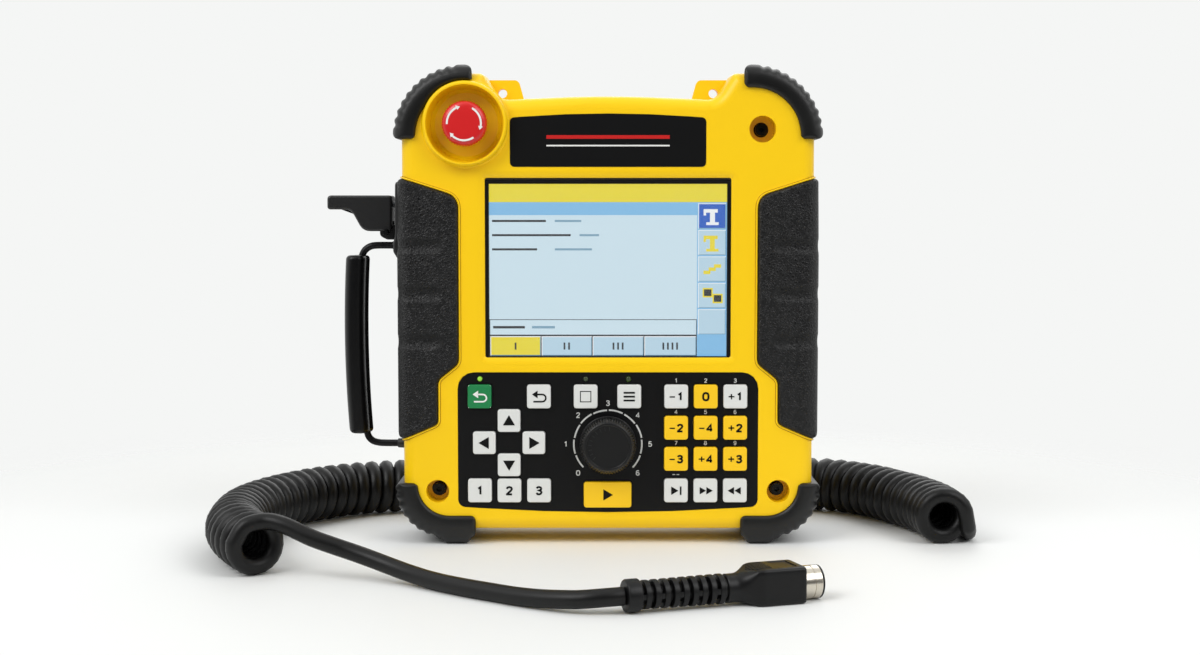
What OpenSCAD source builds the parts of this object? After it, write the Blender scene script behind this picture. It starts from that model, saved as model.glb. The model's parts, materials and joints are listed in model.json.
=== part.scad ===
// Hand-held teach pendant with a colour screen, a jog keypad, a speed dial, a guarded
// stop button, an enable lever and a folding bail, on a curly cord with a round plug.
// X runs across the pendant, Y from front to back and Z upwards. It stands on its feet.

/* [Housing] */
// Width of the yellow housing without grips
body_w = 233.6; // [230:0.2:240]
// Height of the housing, shoulders included
body_h = 259.3; // [256:0.1:268]
// Depth of the closed housing
body_d = 56; // [54:1:64]
// Height of the housing above the floor
ground_gap = 7.7; // [7:0.1:9]
// Wall of both covers
wall = 3; // [2.4:0.1:3.4]
// Radius of the two top corners
top_r = 36; // [34:0.5:38]
// Radius of the two bottom corners
foot_r = 27; // [25:0.5:29]
// Rounding of the front and back edges
edge_r = 7; // [5:0.5:8]
// Depth of the dip between the shoulders
dip = 14.8; // [12:0.2:16]
// Half width of the dip at its floor
dip_half = 60.5; // [59:0.5:63]

/* [Bumpers and grips] */
// Thickness of the corner bumpers
bumper_t = 4.4; // [4:0.2:5.6]
// How far the bumper stands proud of the front and back
bumper_proud = 3; // [2:0.2:4]
// Width of the bumper lip that laps over the covers
bumper_lip = 9; // [8:0.2:10]
// Distance between the ribs on a bumper
rib_pitch = 5.6; // [5:0.1:6]
// Thickness of the soft grips on the sides
grip_t = 2.5; // [2.2:0.1:2.8]
// Thickness of the soft grips beyond the sides
grip_side = 4; // [3.5:0.1:4.5]
// Height of a finger groove
groove_h = 8.5; // [7:0.5:10]
// Distance between the finger grooves
groove_pitch = 29.6; // [28:0.2:31]

/* [Screen] */
// Width of the screen frame
bezel_w = 138.3; // [134:0.1:142]
// Height of the screen frame
bezel_h = 100.9; // [98:0.1:103]
// Height of the middle of the screen
screen_z = 157.2; // [155:0.1:159]
// Width of the sloped edge round the screen
screen_slope = 4.2; // [3:0.1:5]

/* [Keypad] */
// Width of the keypad panel
panel_w = 169.6; // [166:0.2:172]
// Height of the keypad panel at its sides
panel_h = 76.2; // [74:0.2:78]
// Height of the bottom corners of the panel
panel_z = 22; // [21:0.2:23]
// Side of a square key
key_w = 13.4; // [12:0.1:14]
// How far a key stands proud of the panel
key_proud = 2.2; // [1.6:0.1:3]
// Travel of a key
key_travel = 1.2; // [0.8:0.1:1.4]
// Gap round a key in its hole
key_gap = 0.25; // [0.2:0.05:0.4]
// Diameter of the speed dial
dial_d = 32; // [28:0.5:34]
// Height of the speed dial
dial_h = 13; // [10:0.5:16]

/* [Stop button] */
// Outer radius of the raised collar
collar_r = 23.9; // [23:0.1:25]
// Height of the collar above the front
collar_h = 6; // [4:0.5:8]
// Radius of the mouth of the bowl
bowl_r = 21.8; // [21:0.1:22]
// Depth of the bowl below the rim of the collar
bowl_depth = 15; // [13:0.5:16]
// Radius of the red mushroom head
head_r = 12.8; // [12:0.1:14]
// Travel of the stop button
stop_travel = 4; // [3:0.5:5]

/* [Enable lever and bail] */
// Reach of the lever from the middle of the pendant
lever_reach = 160.7; // [158:0.1:164]
// Depth of the lever from front to back
lever_d = 17.8; // [16:0.2:19]
// Diameter of the lever pin
lever_pin_d = 3; // [2.5:0.1:3.2]
// Diameter of the plunger
plunger_d = 3.4; // [3:0.1:3.6]
// Diameter of the bail rod
rod_d = 4; // [3.6:0.1:4.2]
// Distance of the bail sleeve from its hinge line
bail_reach = 20; // [19.5:0.1:22]
// Height of the upper bail leg
bail_top_z = 169.5; // [168:0.1:170]
// Height of the lower bail leg
bail_low_z = 55.1; // [52:0.1:55.5]

/* [Screws, cord and plug] */
// Diameter of the two lower screw wells
well_d = 13; // [12.5:0.1:13.5]
// Diameter of the upper screw well
top_well_d = 15; // [14:0.1:15.5]
// Diameter of a cover screw's shank
screw_d = 4; // [3.5:0.1:4.5]
// Diameter of the hanging holes
hang_hole_d = 5.2; // [4:0.1:6]
// Distance between the hanging holes
hang_pitch = 121; // [118:0.5:122]
// Diameter of the cord
cord_d = 9; // [8.6:0.1:9]
// Outer diameter of the curly stretch
coil_d = 33; // [32:0.5:33]
// Diameter of the plug's metal shell
shell_d = 16.5; // [15:0.1:17]

/* [Hidden] */
$fn = 48;
running_gap = 0.05;
seat_gap = 0.05;
side_x = body_w / 2;
front_y = -body_d / 2;
back_y = body_d / 2;
top_z = ground_gap + body_h;
inner_front_y = front_y + wall;
inner_back_y = back_y - wall;
corner_steps = 8;
draft = 0.6;
far = 200;

// ---- outlines: a corner is [x, z, radius]; the list runs anticlockwise ----
shoulder_x = dip_half + 9.5;
body_corners = [
    [side_x, ground_gap, foot_r], [side_x, top_z, top_r],
    [shoulder_x, top_z, 5], [dip_half, top_z - dip, 9], [0, top_z - dip + 2.6, 700],
    [-dip_half, top_z - dip, 9], [-shoulder_x, top_z, 5],
    [-side_x, top_z, top_r], [-side_x, ground_gap, foot_r]
];

function unit(v) = v / norm(v);
function turn_of(u, v) = atan2(u[0] * v[1] - u[1] * v[0], u * v);
function left_of(u) = [-u[1], u[0]];
function xz(c) = [c[0], c[1]];
function shifted(a, b, c, inset) =
    let (m = left_of(unit(b - a)), n = left_of(unit(c - b))) b + inset * (m + n) / (1 + m * n);
// The rounded outline, moved inwards by inset; every corner gives steps + 1 points.
function rounded(corners, inset = 0, steps = corner_steps) =
    let (n = len(corners),
         p = [for (i = [0:n - 1]) shifted(xz(corners[(i + n - 1) % n]), xz(corners[i]),
                                          xz(corners[(i + 1) % n]), inset)])
    [for (i = [0:n - 1])
        let (b = p[i], u = unit(b - p[(i + n - 1) % n]), v = unit(p[(i + 1) % n] - b),
             turn = turn_of(u, v), side = turn > 0 ? 1 : -1,
             r = max(0.8, corners[i][2] - side * inset),
             start = b - u * r * tan(abs(turn) / 2), middle = start + side * r * left_of(u))
        for (k = [0:steps]) let (t = turn * k / steps, d = start - middle)
            middle + [d[0] * cos(t) - d[1] * sin(t), d[0] * sin(t) + d[1] * cos(t)]];
function box_corners(w, h, r, z) =
    [[w / 2, z - h / 2, r], [w / 2, z + h / 2, r], [-w / 2, z + h / 2, r], [-w / 2, z - h / 2, r]];
function mirrored(corners) = [for (i = [len(corners) - 1:-1:0]) [-corners[i][0], corners[i][1], corners[i][2]]];

// A skin over outlines of equal length, each at its own depth, with a hub for each end.
module skin(outlines, depths, hub) {
    n = len(outlines[0]);
    m = len(outlines);
    points = concat([for (j = [0:m - 1]) for (p = outlines[j]) [p[0], depths[j], p[1]]],
                    [[hub[0], depths[0], hub[1]], [hub[0], depths[m - 1], hub[1]]]);
    flip = depths[m - 1] < depths[0];
    sides = [for (j = [0:m - 2]) for (i = [0:n - 1])
        let (a = j * n + i, b = j * n + (i + 1) % n, c = b + n, d = a + n)
        each (flip ? [[a, d, c], [a, c, b]] : [[a, b, c], [a, c, d]])];
    caps = [for (i = [0:n - 1]) let (a = i, b = (i + 1) % n, e = (m - 1) * n)
        each (flip ? [[m * n, a, b], [m * n + 1, e + b, e + a]]
                   : [[m * n, b, a], [m * n + 1, e + a, e + b]])];
    polyhedron(points, concat(sides, caps));
}
// Half of the housing, from the parting line to a rounded face at depth face_y.
module half_housing(face_y) {
    way = sign(face_y);
    turns = [for (k = [0:5]) k * 18];
    insets = concat([0], [for (t = turns) draft + edge_r * (1 - cos(t))]);
    depths = concat([0], [for (t = turns) face_y + way * edge_r * (sin(t) - 1)]);
    skin([for (s = insets) rounded(body_corners, s)], depths, [0, ground_gap + 55]);
}
// An upright profile in X and Z, carried from depth y0 to depth y1.
module slab(y0, y1) {
    translate([0, y1, 0]) rotate([90, 0, 0]) linear_extrude(y1 - y0) children();
}
module rod_y(x, z, y0, y1, d) {
    translate([x, y1, z]) rotate([90, 0, 0]) cylinder(h = y1 - y0, d = d);
}
module rod_x(x0, x1, y, z, d) {
    translate([x0, y, z]) rotate([0, 90, 0]) cylinder(h = x1 - x0, d = d);
}

// ---- places shared by several pieces ----
stop_x = -79.9;
stop_z = 237.8;
head_proud = 4;
rim_y = front_y - collar_h;
bowl_y = rim_y + bowl_depth;
bowl_floor_r = bowl_r - 1.9;
bowl_wall = 2;
low_wells = [[-96.6, 30.6], [96.6, 30.6]];
top_well = [86.6, 235];
well_depth = 12;
well_floor_y = front_y + well_depth;
screw_seat = 2.5;
post_extra = 2.4;
panel_t = 2;
panel_seat = 0.2;
dial_lift = 0.5;
panel_y = front_y - panel_seat;
panel_back_y = panel_y + panel_t;
panel_mid_z = panel_z + panel_h / 2;
panel_bow = 3.2;
panel_corners = [
    [panel_w / 2, panel_z, 4], [panel_w / 2, panel_z + panel_h, 9],
    [-panel_w / 2, panel_z + panel_h, 9], [-panel_w / 2, panel_z, 4], [0, panel_z - 1.75 * panel_bow, 1100]
];
window_inset = 1.4;
flange = 0.7;
flange_t = 1.2;
flange_y = panel_back_y + 0.2;
board_t = 1.6;
board_y = flange_y + flange_t + key_travel + 1.4;
key_r = 1.5;
plate_corners = [
    [54.9, 214, 2.4], [54.9, 241.3, 2.4], [0, 245.3, 640], [-54.9, 241.3, 2.4], [-54.9, 214, 2.4]
];
plate_t = 1.2;
bezel_y = front_y + 2.2;
dial_x = 0;
dial_z = 57.6;
spindle_d = 6;
lamp_d = 3.2;
lamp_z = 94.6;
// the left and right groups of keys keep their distance from the sides of the panel
left_x = -panel_w / 2 + 12.3;
right_x = panel_w / 2 - 12.9;
column = 16.7;
reset_x = -12.6;
mode_x = 12;
lamp_xs = [left_x + 0.1, reset_x, mode_x - 0.4];
grip_x = side_x + grip_side;
grip_corners = [
    [-135, 213.5, 0.5], [-135, 52, 0.5], [-96, 68.9, 4], [-96, 93.8, 6],
    [-84.2, 103.2, 6], [-84.2, 197.3, 9]
];
groove_z = 142.6;
grip_low_z = 40;
grip_run = 185;
hinge_x = -side_x - 8.3;
bracket_low_z = 160.5;
bracket_top_z = 207;
pivot_x = -side_x - 10.2;
pivot_z = 177;
lug_r = 4.4;
lever_x = -side_x - 7.7;
plunger_z = pivot_z + 16;
gland_x = 60;
gland_z = 58;
gland_l = 16;

// The whole pendant is set so that its middle, without the cord, is over the origin.
reach_right = side_x + bumper_t;
reach_front = max(collar_h + head_proud, dial_lift + dial_h) - front_y;
reach_back = back_y + gland_l;
housing_x = (lever_reach - reach_right) / 2;
housing_y = (reach_front - reach_back) / 2;
module place() {
    translate([housing_x, housing_y, 0]) children();
}

// ---- keys: [name, x, z, wide, high, colour] ----
grey_key = "#d9dbd6";
yellow_key = "#f9ce0c";
jog_x = [right_x - 2 * column, right_x - column, right_x];
jog_z = [84.8, 67, 49.3, 31.3];
jog_names = [["jog_1_minus", "jog_1_lock", "jog_1_plus"], ["jog_2_minus", "jog_2_mid", "jog_2_plus"],
             ["jog_3_minus", "jog_3_mid", "jog_3_plus"], ["step", "forward", "backward"]];
function jog_colour(row, col) = row == 3 || (row == 0 && col != 1) ? grey_key : yellow_key;
jog_keys = [for (row = [0:3]) for (col = [0:2])
    [str("key_", jog_names[row][col]), jog_x[col], jog_z[row], key_w, key_w, jog_colour(row, col)]];
arrow_w = 12.8;
arrow_x = left_x + 16.6;
arrow_z = 58.5;
arrow_step = [14, 12.6];
left_keys = [
    ["key_select", left_x, 84.8, key_w, key_w, "#15854a"],
    ["key_return", left_x + 33.5, 84.8, key_w, key_w, grey_key],
    ["key_reset", reset_x, 84.8, key_w, key_w, grey_key],
    ["key_mode", mode_x, 84.8, key_w, key_w, grey_key],
    ["key_up", arrow_x, arrow_z + arrow_step[1], arrow_w, arrow_w, grey_key],
    ["key_down", arrow_x, arrow_z - arrow_step[1], arrow_w, arrow_w, grey_key],
    ["key_left", arrow_x - arrow_step[0], arrow_z, arrow_w, arrow_w, grey_key],
    ["key_right", arrow_x + arrow_step[0], arrow_z, arrow_w, arrow_w, grey_key],
    ["key_low_1", left_x, 31.3, key_w, key_w, grey_key],
    ["key_low_2", left_x + column, 31.3, key_w, key_w, grey_key],
    ["key_low_3", left_x + 33.5, 31.3, key_w, key_w, grey_key],
    ["key_start", -0.2, 28.9, 26.9, 14.6, yellow_key]
];
keys = concat(left_keys, jog_keys);

// ---- cord routes, in the pendant's own frame before it is set over the origin ----
tail_route = [
    [60, 44, 58], [60, 58, 57], [61, 72, 52], [64, 86, 45], [68, 100, 36], [73, 113, 25],
    [79, 125, 14], [90, 135, 7], [107, 139, 4.5], [126, 136, 4.5], [145, 127, 4.5],
    [163, 113, 4.5], [179, 96, 4.5], [191, 78, 4.5], [199, 59, 4.5], [204, 40, 4.5],
    [206.5, 21, 4.5], [207.6, 3, 4.5], [207.4, -12, 4.6]
];
coil_route = [
    [-182, -114, 16.5], [-190, -100, 16.5], [-197, -85, 16.5], [-203, -68, 16.5], [-206, -50, 16.5],
    [-207, -30, 16.5], [-205, -10, 16.5], [-199, 10, 16.5], [-190, 30, 16.5], [-179, 47, 16.5],
    [-165, 62, 16.5], [-148, 73, 16.5], [-129, 80, 16.5], [-90, 87, 16.5], [-45, 91, 16.5],
    [0, 92, 16.5], [45, 92, 16.5], [90, 91, 16.5], [131, 88, 16.5], [144, 82, 16.5],
    [155, 72, 16.5], [167, 55, 16.5], [176, 35, 16.5], [183, 18, 16.5], [188, 0, 16.5],
    [190, -15, 16.5], [191, -31, 16.5]
];
lead_route = [
    [-180, -118.3, 28.3], [-167, -118.5, 25], [-152, -118.5, 20], [-138, -119, 15.8],
    [-125, -122, 12], [-112.5, -127.5, 8.6], [-101, -135, 6.2], [-90, -144, 4.9],
    [-79, -153.5, 4.5], [-68, -162.5, 4.5], [-56.5, -171, 4.5], [-45, -179.5, 4.6],
    [-33, -187.5, 5.2], [-20.5, -194.5, 6.3], [-13.7, -197, 6.9], [-6.8, -198, 7.6],
    [0.2, -197.6, 8.1], [6.46, -196.13, 8.28]
];
plug_start = [7, -196, 8.3];
plug_turn = 19;
boot_l = 48;
plug_l = 42;
shell_l = 11;

function tangent(path, i) = unit(path[min(i + 1, len(path) - 1)] - path[max(i - 1, 0)]);
// A plain tube along a route, with its rings upright and across it.
module tube(path, d, sides, turn = 0) {
    n = len(path);
    rings = [for (i = [0:n - 1])
        let (t = tangent(path, i), s = unit(cross([0, 0, 1], t)), v = cross(t, s))
        for (k = [0:sides - 1]) let (a = turn + 360 * k / sides)
            path[i] + d / 2 * (cos(a) * s + sin(a) * v)];
    walls = [for (i = [0:n - 2]) for (k = [0:sides - 1])
        let (a = i * sides + k, b = i * sides + (k + 1) % sides)
        each [[a, b + sides, b], [a, a + sides, b + sides]]];
    ends = [[for (k = [0:sides - 1]) k], [for (k = [sides - 1:-1:0]) (n - 1) * sides + k]];
    polyhedron(rings, concat(walls, ends));
}

// ---- covers ----
tab_x = hang_pitch / 2;
tab_z = top_z - 10.4;
tab_t = 7;
module tab_profile() {
    polygon(rounded([[tab_x - 13.5, tab_z - 8, 0.5], [tab_x + 13.5, tab_z - 8, 0.5],
                     [tab_x + 10.8, tab_z + 7.6, 3], [tab_x - 9.2, tab_z + 7.6, 3]], 0, 5));
}
module screw_posts(y0, y1) {
    for (p = low_wells) rod_y(p[0], p[1], y0, y1, well_d + 2 * post_extra);
    rod_y(top_well[0], top_well[1], y0, y1, top_well_d + 2 * post_extra);
}
module on_screws() {
    for (p = concat(low_wells, [top_well])) translate([p[0], 0, p[1]]) children();
}
module window_profile(inset) {
    polygon(rounded(panel_corners, inset, 4));
}
standoffs = [[-panel_w / 2 + 14, panel_z + panel_h + 1.5], [panel_w / 2 - 14, panel_z + panel_h + 1.5],
             [-panel_w / 2 + 22, panel_z - 2.8], [panel_w / 2 - 22, panel_z - 2.8]];
module front_cover() {
    place() color("#f9d21b") difference() {
        union() {
            difference() {
                half_housing(front_y);
                slab(inner_front_y, 1) polygon(rounded(body_corners, wall));
            }
            screw_posts(inner_front_y - 1, -1);
            // The collar and the bowl under it, turned as one form.
            translate([stop_x, front_y, stop_z]) rotate([90, 0, 0]) rotate_extrude() polygon([
                [0, front_y - bowl_y - bowl_wall], [bowl_floor_r + bowl_wall, front_y - bowl_y - bowl_wall],
                [bowl_r + bowl_wall, -1], [collar_r + 1, 0.001], [collar_r, 1], [collar_r, collar_h - 1.5],
                [collar_r - 0.5, collar_h - 0.5], [collar_r - 1.2, collar_h], [0, collar_h]]);
            for (p = standoffs) rod_y(p[0], p[1], inner_front_y - 0.5, board_y, 6);
        }
        // bowl, with a rounded floor, and the hole for the button's stem
        translate([stop_x, rim_y, stop_z]) rotate([90, 0, 0]) rotate_extrude() polygon([
            [0, -bowl_depth], [bowl_floor_r - 2, -bowl_depth], [bowl_floor_r, -bowl_depth + 2],
            [bowl_r, 0], [bowl_r, 1], [0, 1]]);
        rod_y(stop_x, stop_z, bowl_y - 1, bowl_y + bowl_wall + 1, stop_stem_d + 0.6);
        // wells for the screws, and the holes they pass through
        for (p = low_wells) rod_y(p[0], p[1], front_y - 1, well_floor_y, well_d);
        rod_y(top_well[0], top_well[1], front_y - 1, well_floor_y, top_well_d);
        on_screws() rod_y(0, 0, well_floor_y - 1, 1, screw_d + 0.5);
        // sloped recess and window for the screen
        skin([for (s = [0, screen_slope]) rounded(box_corners(bezel_w + 2 * screen_slope + 0.4,
                bezel_h + 2 * screen_slope + 0.4, 5.4, screen_z), s, 4)],
             [front_y - 0.01, bezel_y], [0, screen_z]);
        slab(bezel_y - 0.01, 0) polygon(rounded(box_corners(bezel_w + 0.4, bezel_h + 0.4, 1.2, screen_z), 0, 4));
        // pocket and window for the keypad
        slab(front_y - 1, panel_back_y) window_profile(-0.2);
        slab(front_y - 1, 0) window_profile(window_inset);
        // pocket for the name plate
        slab(front_y - 1, front_y + plate_t) polygon(rounded(plate_corners, -0.1, 4));
        // groove for the seal
        slab(-1.1, 1) difference() {
            polygon(rounded(body_corners, 1));
            polygon(rounded(body_corners, 2.1));
        }
    }
}
module rear_cover() {
    place() color("#f9d21b") difference() {
        union() {
            difference() {
                half_housing(back_y);
                slab(-1, inner_back_y) polygon(rounded(body_corners, wall));
            }
            slab(0, tab_t) {
                tab_profile();
                mirror([1, 0]) tab_profile();
            }
            screw_posts(-1, inner_back_y + 1);
            rod_y(gland_x, gland_z, inner_back_y - 2, inner_back_y + 1, 30);
        }
        for (s = [-1, 1]) rod_y(s * tab_x, tab_z, -1, tab_t + 1, hang_hole_d);
        on_screws() rod_y(0, 0, -2, 14.2, screw_d);
        rod_y(gland_x, gland_z, inner_back_y - 3, back_y + 1, gland_thread_d + 0.2);
    }
}
module housing_seal() {
    place() color("#2e2f31") slab(-1.05, 0) difference() {
        polygon(rounded(body_corners, 1.05));
        polygon(rounded(body_corners, 2.05));
    }
}
module name_plate() {
    place() color("#1e1f20") slab(front_y - 0.3, front_y + plate_t) polygon(rounded(plate_corners, 0, 4));
}
module cover_screws() {
    head_d = screw_d * 1.75;
    place() color("#3a3a3c") on_screws() difference() {
        union() {
            rod_y(0, 0, well_floor_y - screw_d, well_floor_y, head_d);
            rod_y(0, 0, well_floor_y - 0.5, 13.8, screw_d - 0.1);
        }
        rod_y(0, 0, well_floor_y - screw_d - 1, well_floor_y - screw_d / 2, screw_d * 0.7);
    }
}

// ---- grips: one section of the housing's side, carried upwards and cut to shape ----
function side_section(out, beyond) =
    let (r = edge_r + out, x = side_x + beyond - draft, y = body_d / 2 + out)
    concat([[side_x - 40, -y]], [for (a = [-90:15:0]) [x - r + r * cos(a), -y + r + r * sin(a)]],
           [[side_x + beyond, 0]], [for (a = [0:15:90]) [x - r + r * cos(a), y - r + r * sin(a)]],
           [[side_x - 40, y]]);
module grip_form() {
    difference() {
        intersection() {
            translate([0, 0, grip_low_z]) linear_extrude(grip_run) difference() {
                polygon(side_section(grip_t, grip_side));
                polygon(side_section(seat_gap, seat_gap));
                square([2 * (side_x - 40), far], center = true);
            }
            slab(-far, far) polygon(rounded(mirrored(grip_corners), 0, 5));
        }
        // finger grooves, run round from the front to the back
        for (k = [-1:1]) translate([0, 0, groove_z + k * groove_pitch]) {
            for (s = [-1, 1]) slab(s < 0 ? -far : back_y + 0.9, s < 0 ? front_y - 0.9 : far)
                polygon(rounded([[far, -groove_h / 2, 0.5], [far, groove_h / 2, 0.5],
                                 [93.2, groove_h / 2, groove_h / 2 - 0.1],
                                 [93.2, -groove_h / 2, groove_h / 2 - 0.1]], 0, 6));
            translate([grip_x - 1.6, -far, -groove_h / 2]) cube([far, 2 * far, groove_h]);
        }
    }
}
module grip_left() {
    place() color("#232426") difference() {
        mirror([1, 0, 0]) grip_form();
        translate([-far, -bracket_half, bracket_low_z - 0.1])
            cube([far - side_x, 2 * bracket_half, bracket_top_z - bracket_low_z + 0.2]);
    }
}
module grip_right() {
    place() color("#232426") grip_form();
}

// ---- bumpers: a C section turned round the corner and run straight at both ends ----
function bumper_section(r, lap) =
    let (y = body_d / 2 + bumper_proud, s = bumper_t, e = 5, c = 3)
    concat([for (a = [-90:22.5:0]) [r + s - e + e * cos(a), -y + e + e * sin(a)]],
           [for (a = [0:22.5:90]) [r + s - e + e * cos(a), y - e + e * sin(a)]],
           [for (a = [90:30:180]) [r - lap + c + c * cos(a), y - c + c * sin(a)]],
           [[r - lap, body_d / 2 + seat_gap]],
           [for (a = [90:-15:0]) [r - draft - edge_r + (edge_r + seat_gap) * cos(a),
                                  body_d / 2 - edge_r + (edge_r + seat_gap) * sin(a)]],
           [[r + seat_gap, 0]],
           [for (a = [0:-15:-90]) [r - draft - edge_r + (edge_r + seat_gap) * cos(a),
                                   -body_d / 2 + edge_r + (edge_r + seat_gap) * sin(a)]],
           [[r - lap, -body_d / 2 - seat_gap]],
           [for (a = [180:30:270]) [r - lap + c + c * cos(a), -y + c + c * sin(a)]]);
end_r = 4.5;
lip_r = 3;
// What is cut away to round a corner of an end, seen from the front, in four flats.
module corner_cut(x, y, r, way_x, way_y) {
    arc = [for (a = [0:22.5:90]) [r * (sin(a) - 1), r * (cos(a) - 1)]];
    translate([x, y, -far]) linear_extrude(2 * far) polygon([
        for (p = concat([[-r - 1, 0.25], [-r - 1, 2], [2, 2], [2, -r - 1], [0.25, -r - 1]],
                        [for (i = [4:-1:0]) arc[i] + [0.03, 0.03]]))
            [way_x * p[0], way_y * p[1]]]);
}
// The grooves between the ribs run from front to back.
module bumper_form(r, along, down, lap = bumper_lip) {
    out = r + bumper_t;
    lip = r - lap;
    groove_r = 2.6;
    ribs = floor(out * PI * 0.4 / rib_pitch) + 1;
    difference() {
        union() {
            rotate_extrude(angle = 90) polygon(bumper_section(r, lap));
            rotate([90, 0, 0]) linear_extrude(down) polygon(bumper_section(r, lap));
            rotate([0, 0, 90]) translate([0, along, 0]) rotate([90, 0, 0]) linear_extrude(along)
                polygon(bumper_section(r, lap));
        }
        for (k = [0:ribs - 1]) let (s = (k - (ribs - 1) / 2) * rib_pitch)
            rotate([0, 0, 45 + s / out * 180 / PI])
                translate([out + groove_r - rib_depth, 0, 0]) cylinder(h = 2 * far, r = groove_r, center = true);
        corner_cut(-along, out, end_r, -1, 1);
        corner_cut(-along, lip, lip_r, -1, -1);
        corner_cut(out, -down, end_r, 1, -1);
        corner_cut(lip, -down, lip_r, -1, -1);
    }
}
rib_depth = 1.1;
// Stands a bumper up: its turning centre goes to (x, z) and its first quarter faces up and right.
module at_corner(x, z, up) {
    translate([x, 0, z]) mirror([0, 0, up ? 0 : 1]) rotate([90, 0, 0]) children();
}
top_end_x = 76;
foot_end_x = 75;
top_along = side_x - top_r - top_end_x;
top_down = 1.6;
foot_along = side_x - foot_r - foot_end_x;
foot_down = 0.6;
sole_h = ground_gap - bumper_t;
module top_bumper(lap = bumper_lip) {
    at_corner(side_x - top_r, top_z - top_r, true) bumper_form(top_r, top_along, top_down, lap);
}
module bottom_bumper() {
    middle_x = side_x - foot_r;
    at_corner(middle_x, ground_gap + foot_r, false) bumper_form(foot_r, foot_along, foot_down);
    // the sole under the bumper
    slab(-body_d / 2 - bumper_proud + 5, body_d / 2 + bumper_proud - 5) polygon([
        [foot_end_x + 6, sole_h + 1], [foot_end_x + 7, 0], [middle_x + 2, 0],
        [middle_x + 9, sole_h * 0.5], [middle_x + 9, sole_h + 3], [foot_end_x + 6, sole_h + 3]]);
}
// The left one laps less over the front, so that it clears the collar of the stop button.
collar_lip = top_r - norm([stop_x + side_x - top_r, stop_z - top_z + top_r]) - collar_r - 1.15;
module bumper_top_left() {
    place() color("#2e2f31") mirror([1, 0, 0]) top_bumper(collar_lip);
}
module bumper_top_right() {
    place() color("#2e2f31") top_bumper();
}
module bumper_bottom_left() {
    place() color("#2e2f31") mirror([1, 0, 0]) bottom_bumper();
}
module bumper_bottom_right() {
    place() color("#2e2f31") bottom_bumper();
}

// ---- screen ----
glass_w = bezel_w - 4.2;
glass_h = bezel_h - 3.6;
bezel_t = 2.4;
glass_t = 1.1;
module screen_bezel() {
    place() color("#151516") difference() {
        union() {
            slab(bezel_y, inner_front_y) polygon(rounded(box_corners(bezel_w, bezel_h, 1, screen_z), 0, 4));
            slab(inner_front_y, inner_front_y + bezel_t)
                polygon(rounded(box_corners(bezel_w + 5, bezel_h + 5, 2, screen_z), 0, 4));
        }
        slab(bezel_y - 1, inner_front_y + 0.5) square_at(glass_w + 0.2, glass_h + 0.2, screen_z);
        slab(bezel_y - 1, inner_front_y + bezel_t + 1) square_at(glass_w - 3, glass_h - 3, screen_z);
    }
}
module square_at(w, h, z) {
    translate([-w / 2, z - h / 2]) square([w, h]);
}
module touch_glass() {
    place() color("#9fc4d8") slab(inner_front_y + 0.5 - glass_t, inner_front_y + 0.5)
        square_at(glass_w, glass_h, screen_z);
}
module lcd_module() {
    y = inner_front_y + bezel_t;
    place() color("#8c9094") difference() {
        slab(y, y + 6) square_at(glass_w + 6, glass_h + 6, screen_z);
        slab(y + 4.5, y + 7) for (s = [-1, 1]) translate([s * 34, 0]) square_at(52, glass_h - 14, screen_z);
    }
}

// ---- keypad ----
module key_outline(k, grow) {
    translate([k[1], 0]) polygon(rounded(box_corners(k[3] + 2 * grow, k[4] + 2 * grow,
                                                     key_r + grow, k[2]), 0, 4));
}
module keypad_panel() {
    place() color("#1e1f20") difference() {
        slab(panel_y, panel_back_y) window_profile(0);
        slab(panel_y - 1, panel_back_y + 1) for (k = keys) key_outline(k, key_gap);
        rod_y(dial_x, dial_z, panel_y - 1, panel_back_y + 1, bushing_d + 0.3);
        for (x = lamp_xs) rod_y(x, lamp_z, panel_y - 1, panel_back_y + 1, lamp_d + 0.1);
    }
}
module keypad_board() {
    place() color("#1f5a3c") difference() {
        slab(board_y, board_y + board_t) polygon(rounded(panel_corners, -2.5, 4));
        rod_y(dial_x, dial_z, board_y - 1, board_y + board_t + 1, bushing_d + 0.3);
        for (p = standoffs) rod_y(p[0], p[1], board_y - 1, board_y + board_t + 1, 1.6);
    }
}
module status_lights() {
    place() color("#2fd25a") for (x = lamp_xs) {
        rod_y(x, lamp_z, panel_y - 0.4, board_y - 0.2, lamp_d);
    }
}
module key(k) {
    cap_y = panel_y - key_proud;
    place() color(k[5]) {
        slab(cap_y + 0.6, flange_y + 0.1) key_outline(k, 0);
        slab(cap_y, cap_y + 0.7) key_outline(k, -0.5);
        slab(flange_y, flange_y + flange_t) key_outline(k, flange);
        rod_y(k[1], k[2], flange_y + flange_t - 0.1, flange_y + flange_t + 1, 5);
    }
}
bushing_d = 9;
pot_y = board_y + board_t;
pot_d = 17;
pot_l = 8;
module speed_dial() {
    skirt_h = 3;
    place() color("#202123") translate([dial_x, front_y - dial_lift, dial_z]) rotate([90, 0, 0]) difference() {
        union() {
            cylinder(h = skirt_h, d = dial_d);
            translate([0, 0, skirt_h - 0.01]) cylinder(h = dial_h - skirt_h - 1, d1 = dial_d - 1, d2 = dial_d - 3.6);
            translate([0, 0, dial_h - 1.02]) cylinder(h = 1, d1 = dial_d - 3.6, d2 = dial_d - 5.2);
            translate([0, 0, -(pot_y + 5 - front_y + dial_lift)]) cylinder(h = dial_h, d = spindle_d);
        }
        for (a = [0:15:345]) rotate([0, 0, a]) translate([dial_d / 2 + 0.5, 0, skirt_h + 0.6])
            cylinder(h = dial_h, d = 2.4);
    }
}
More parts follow.
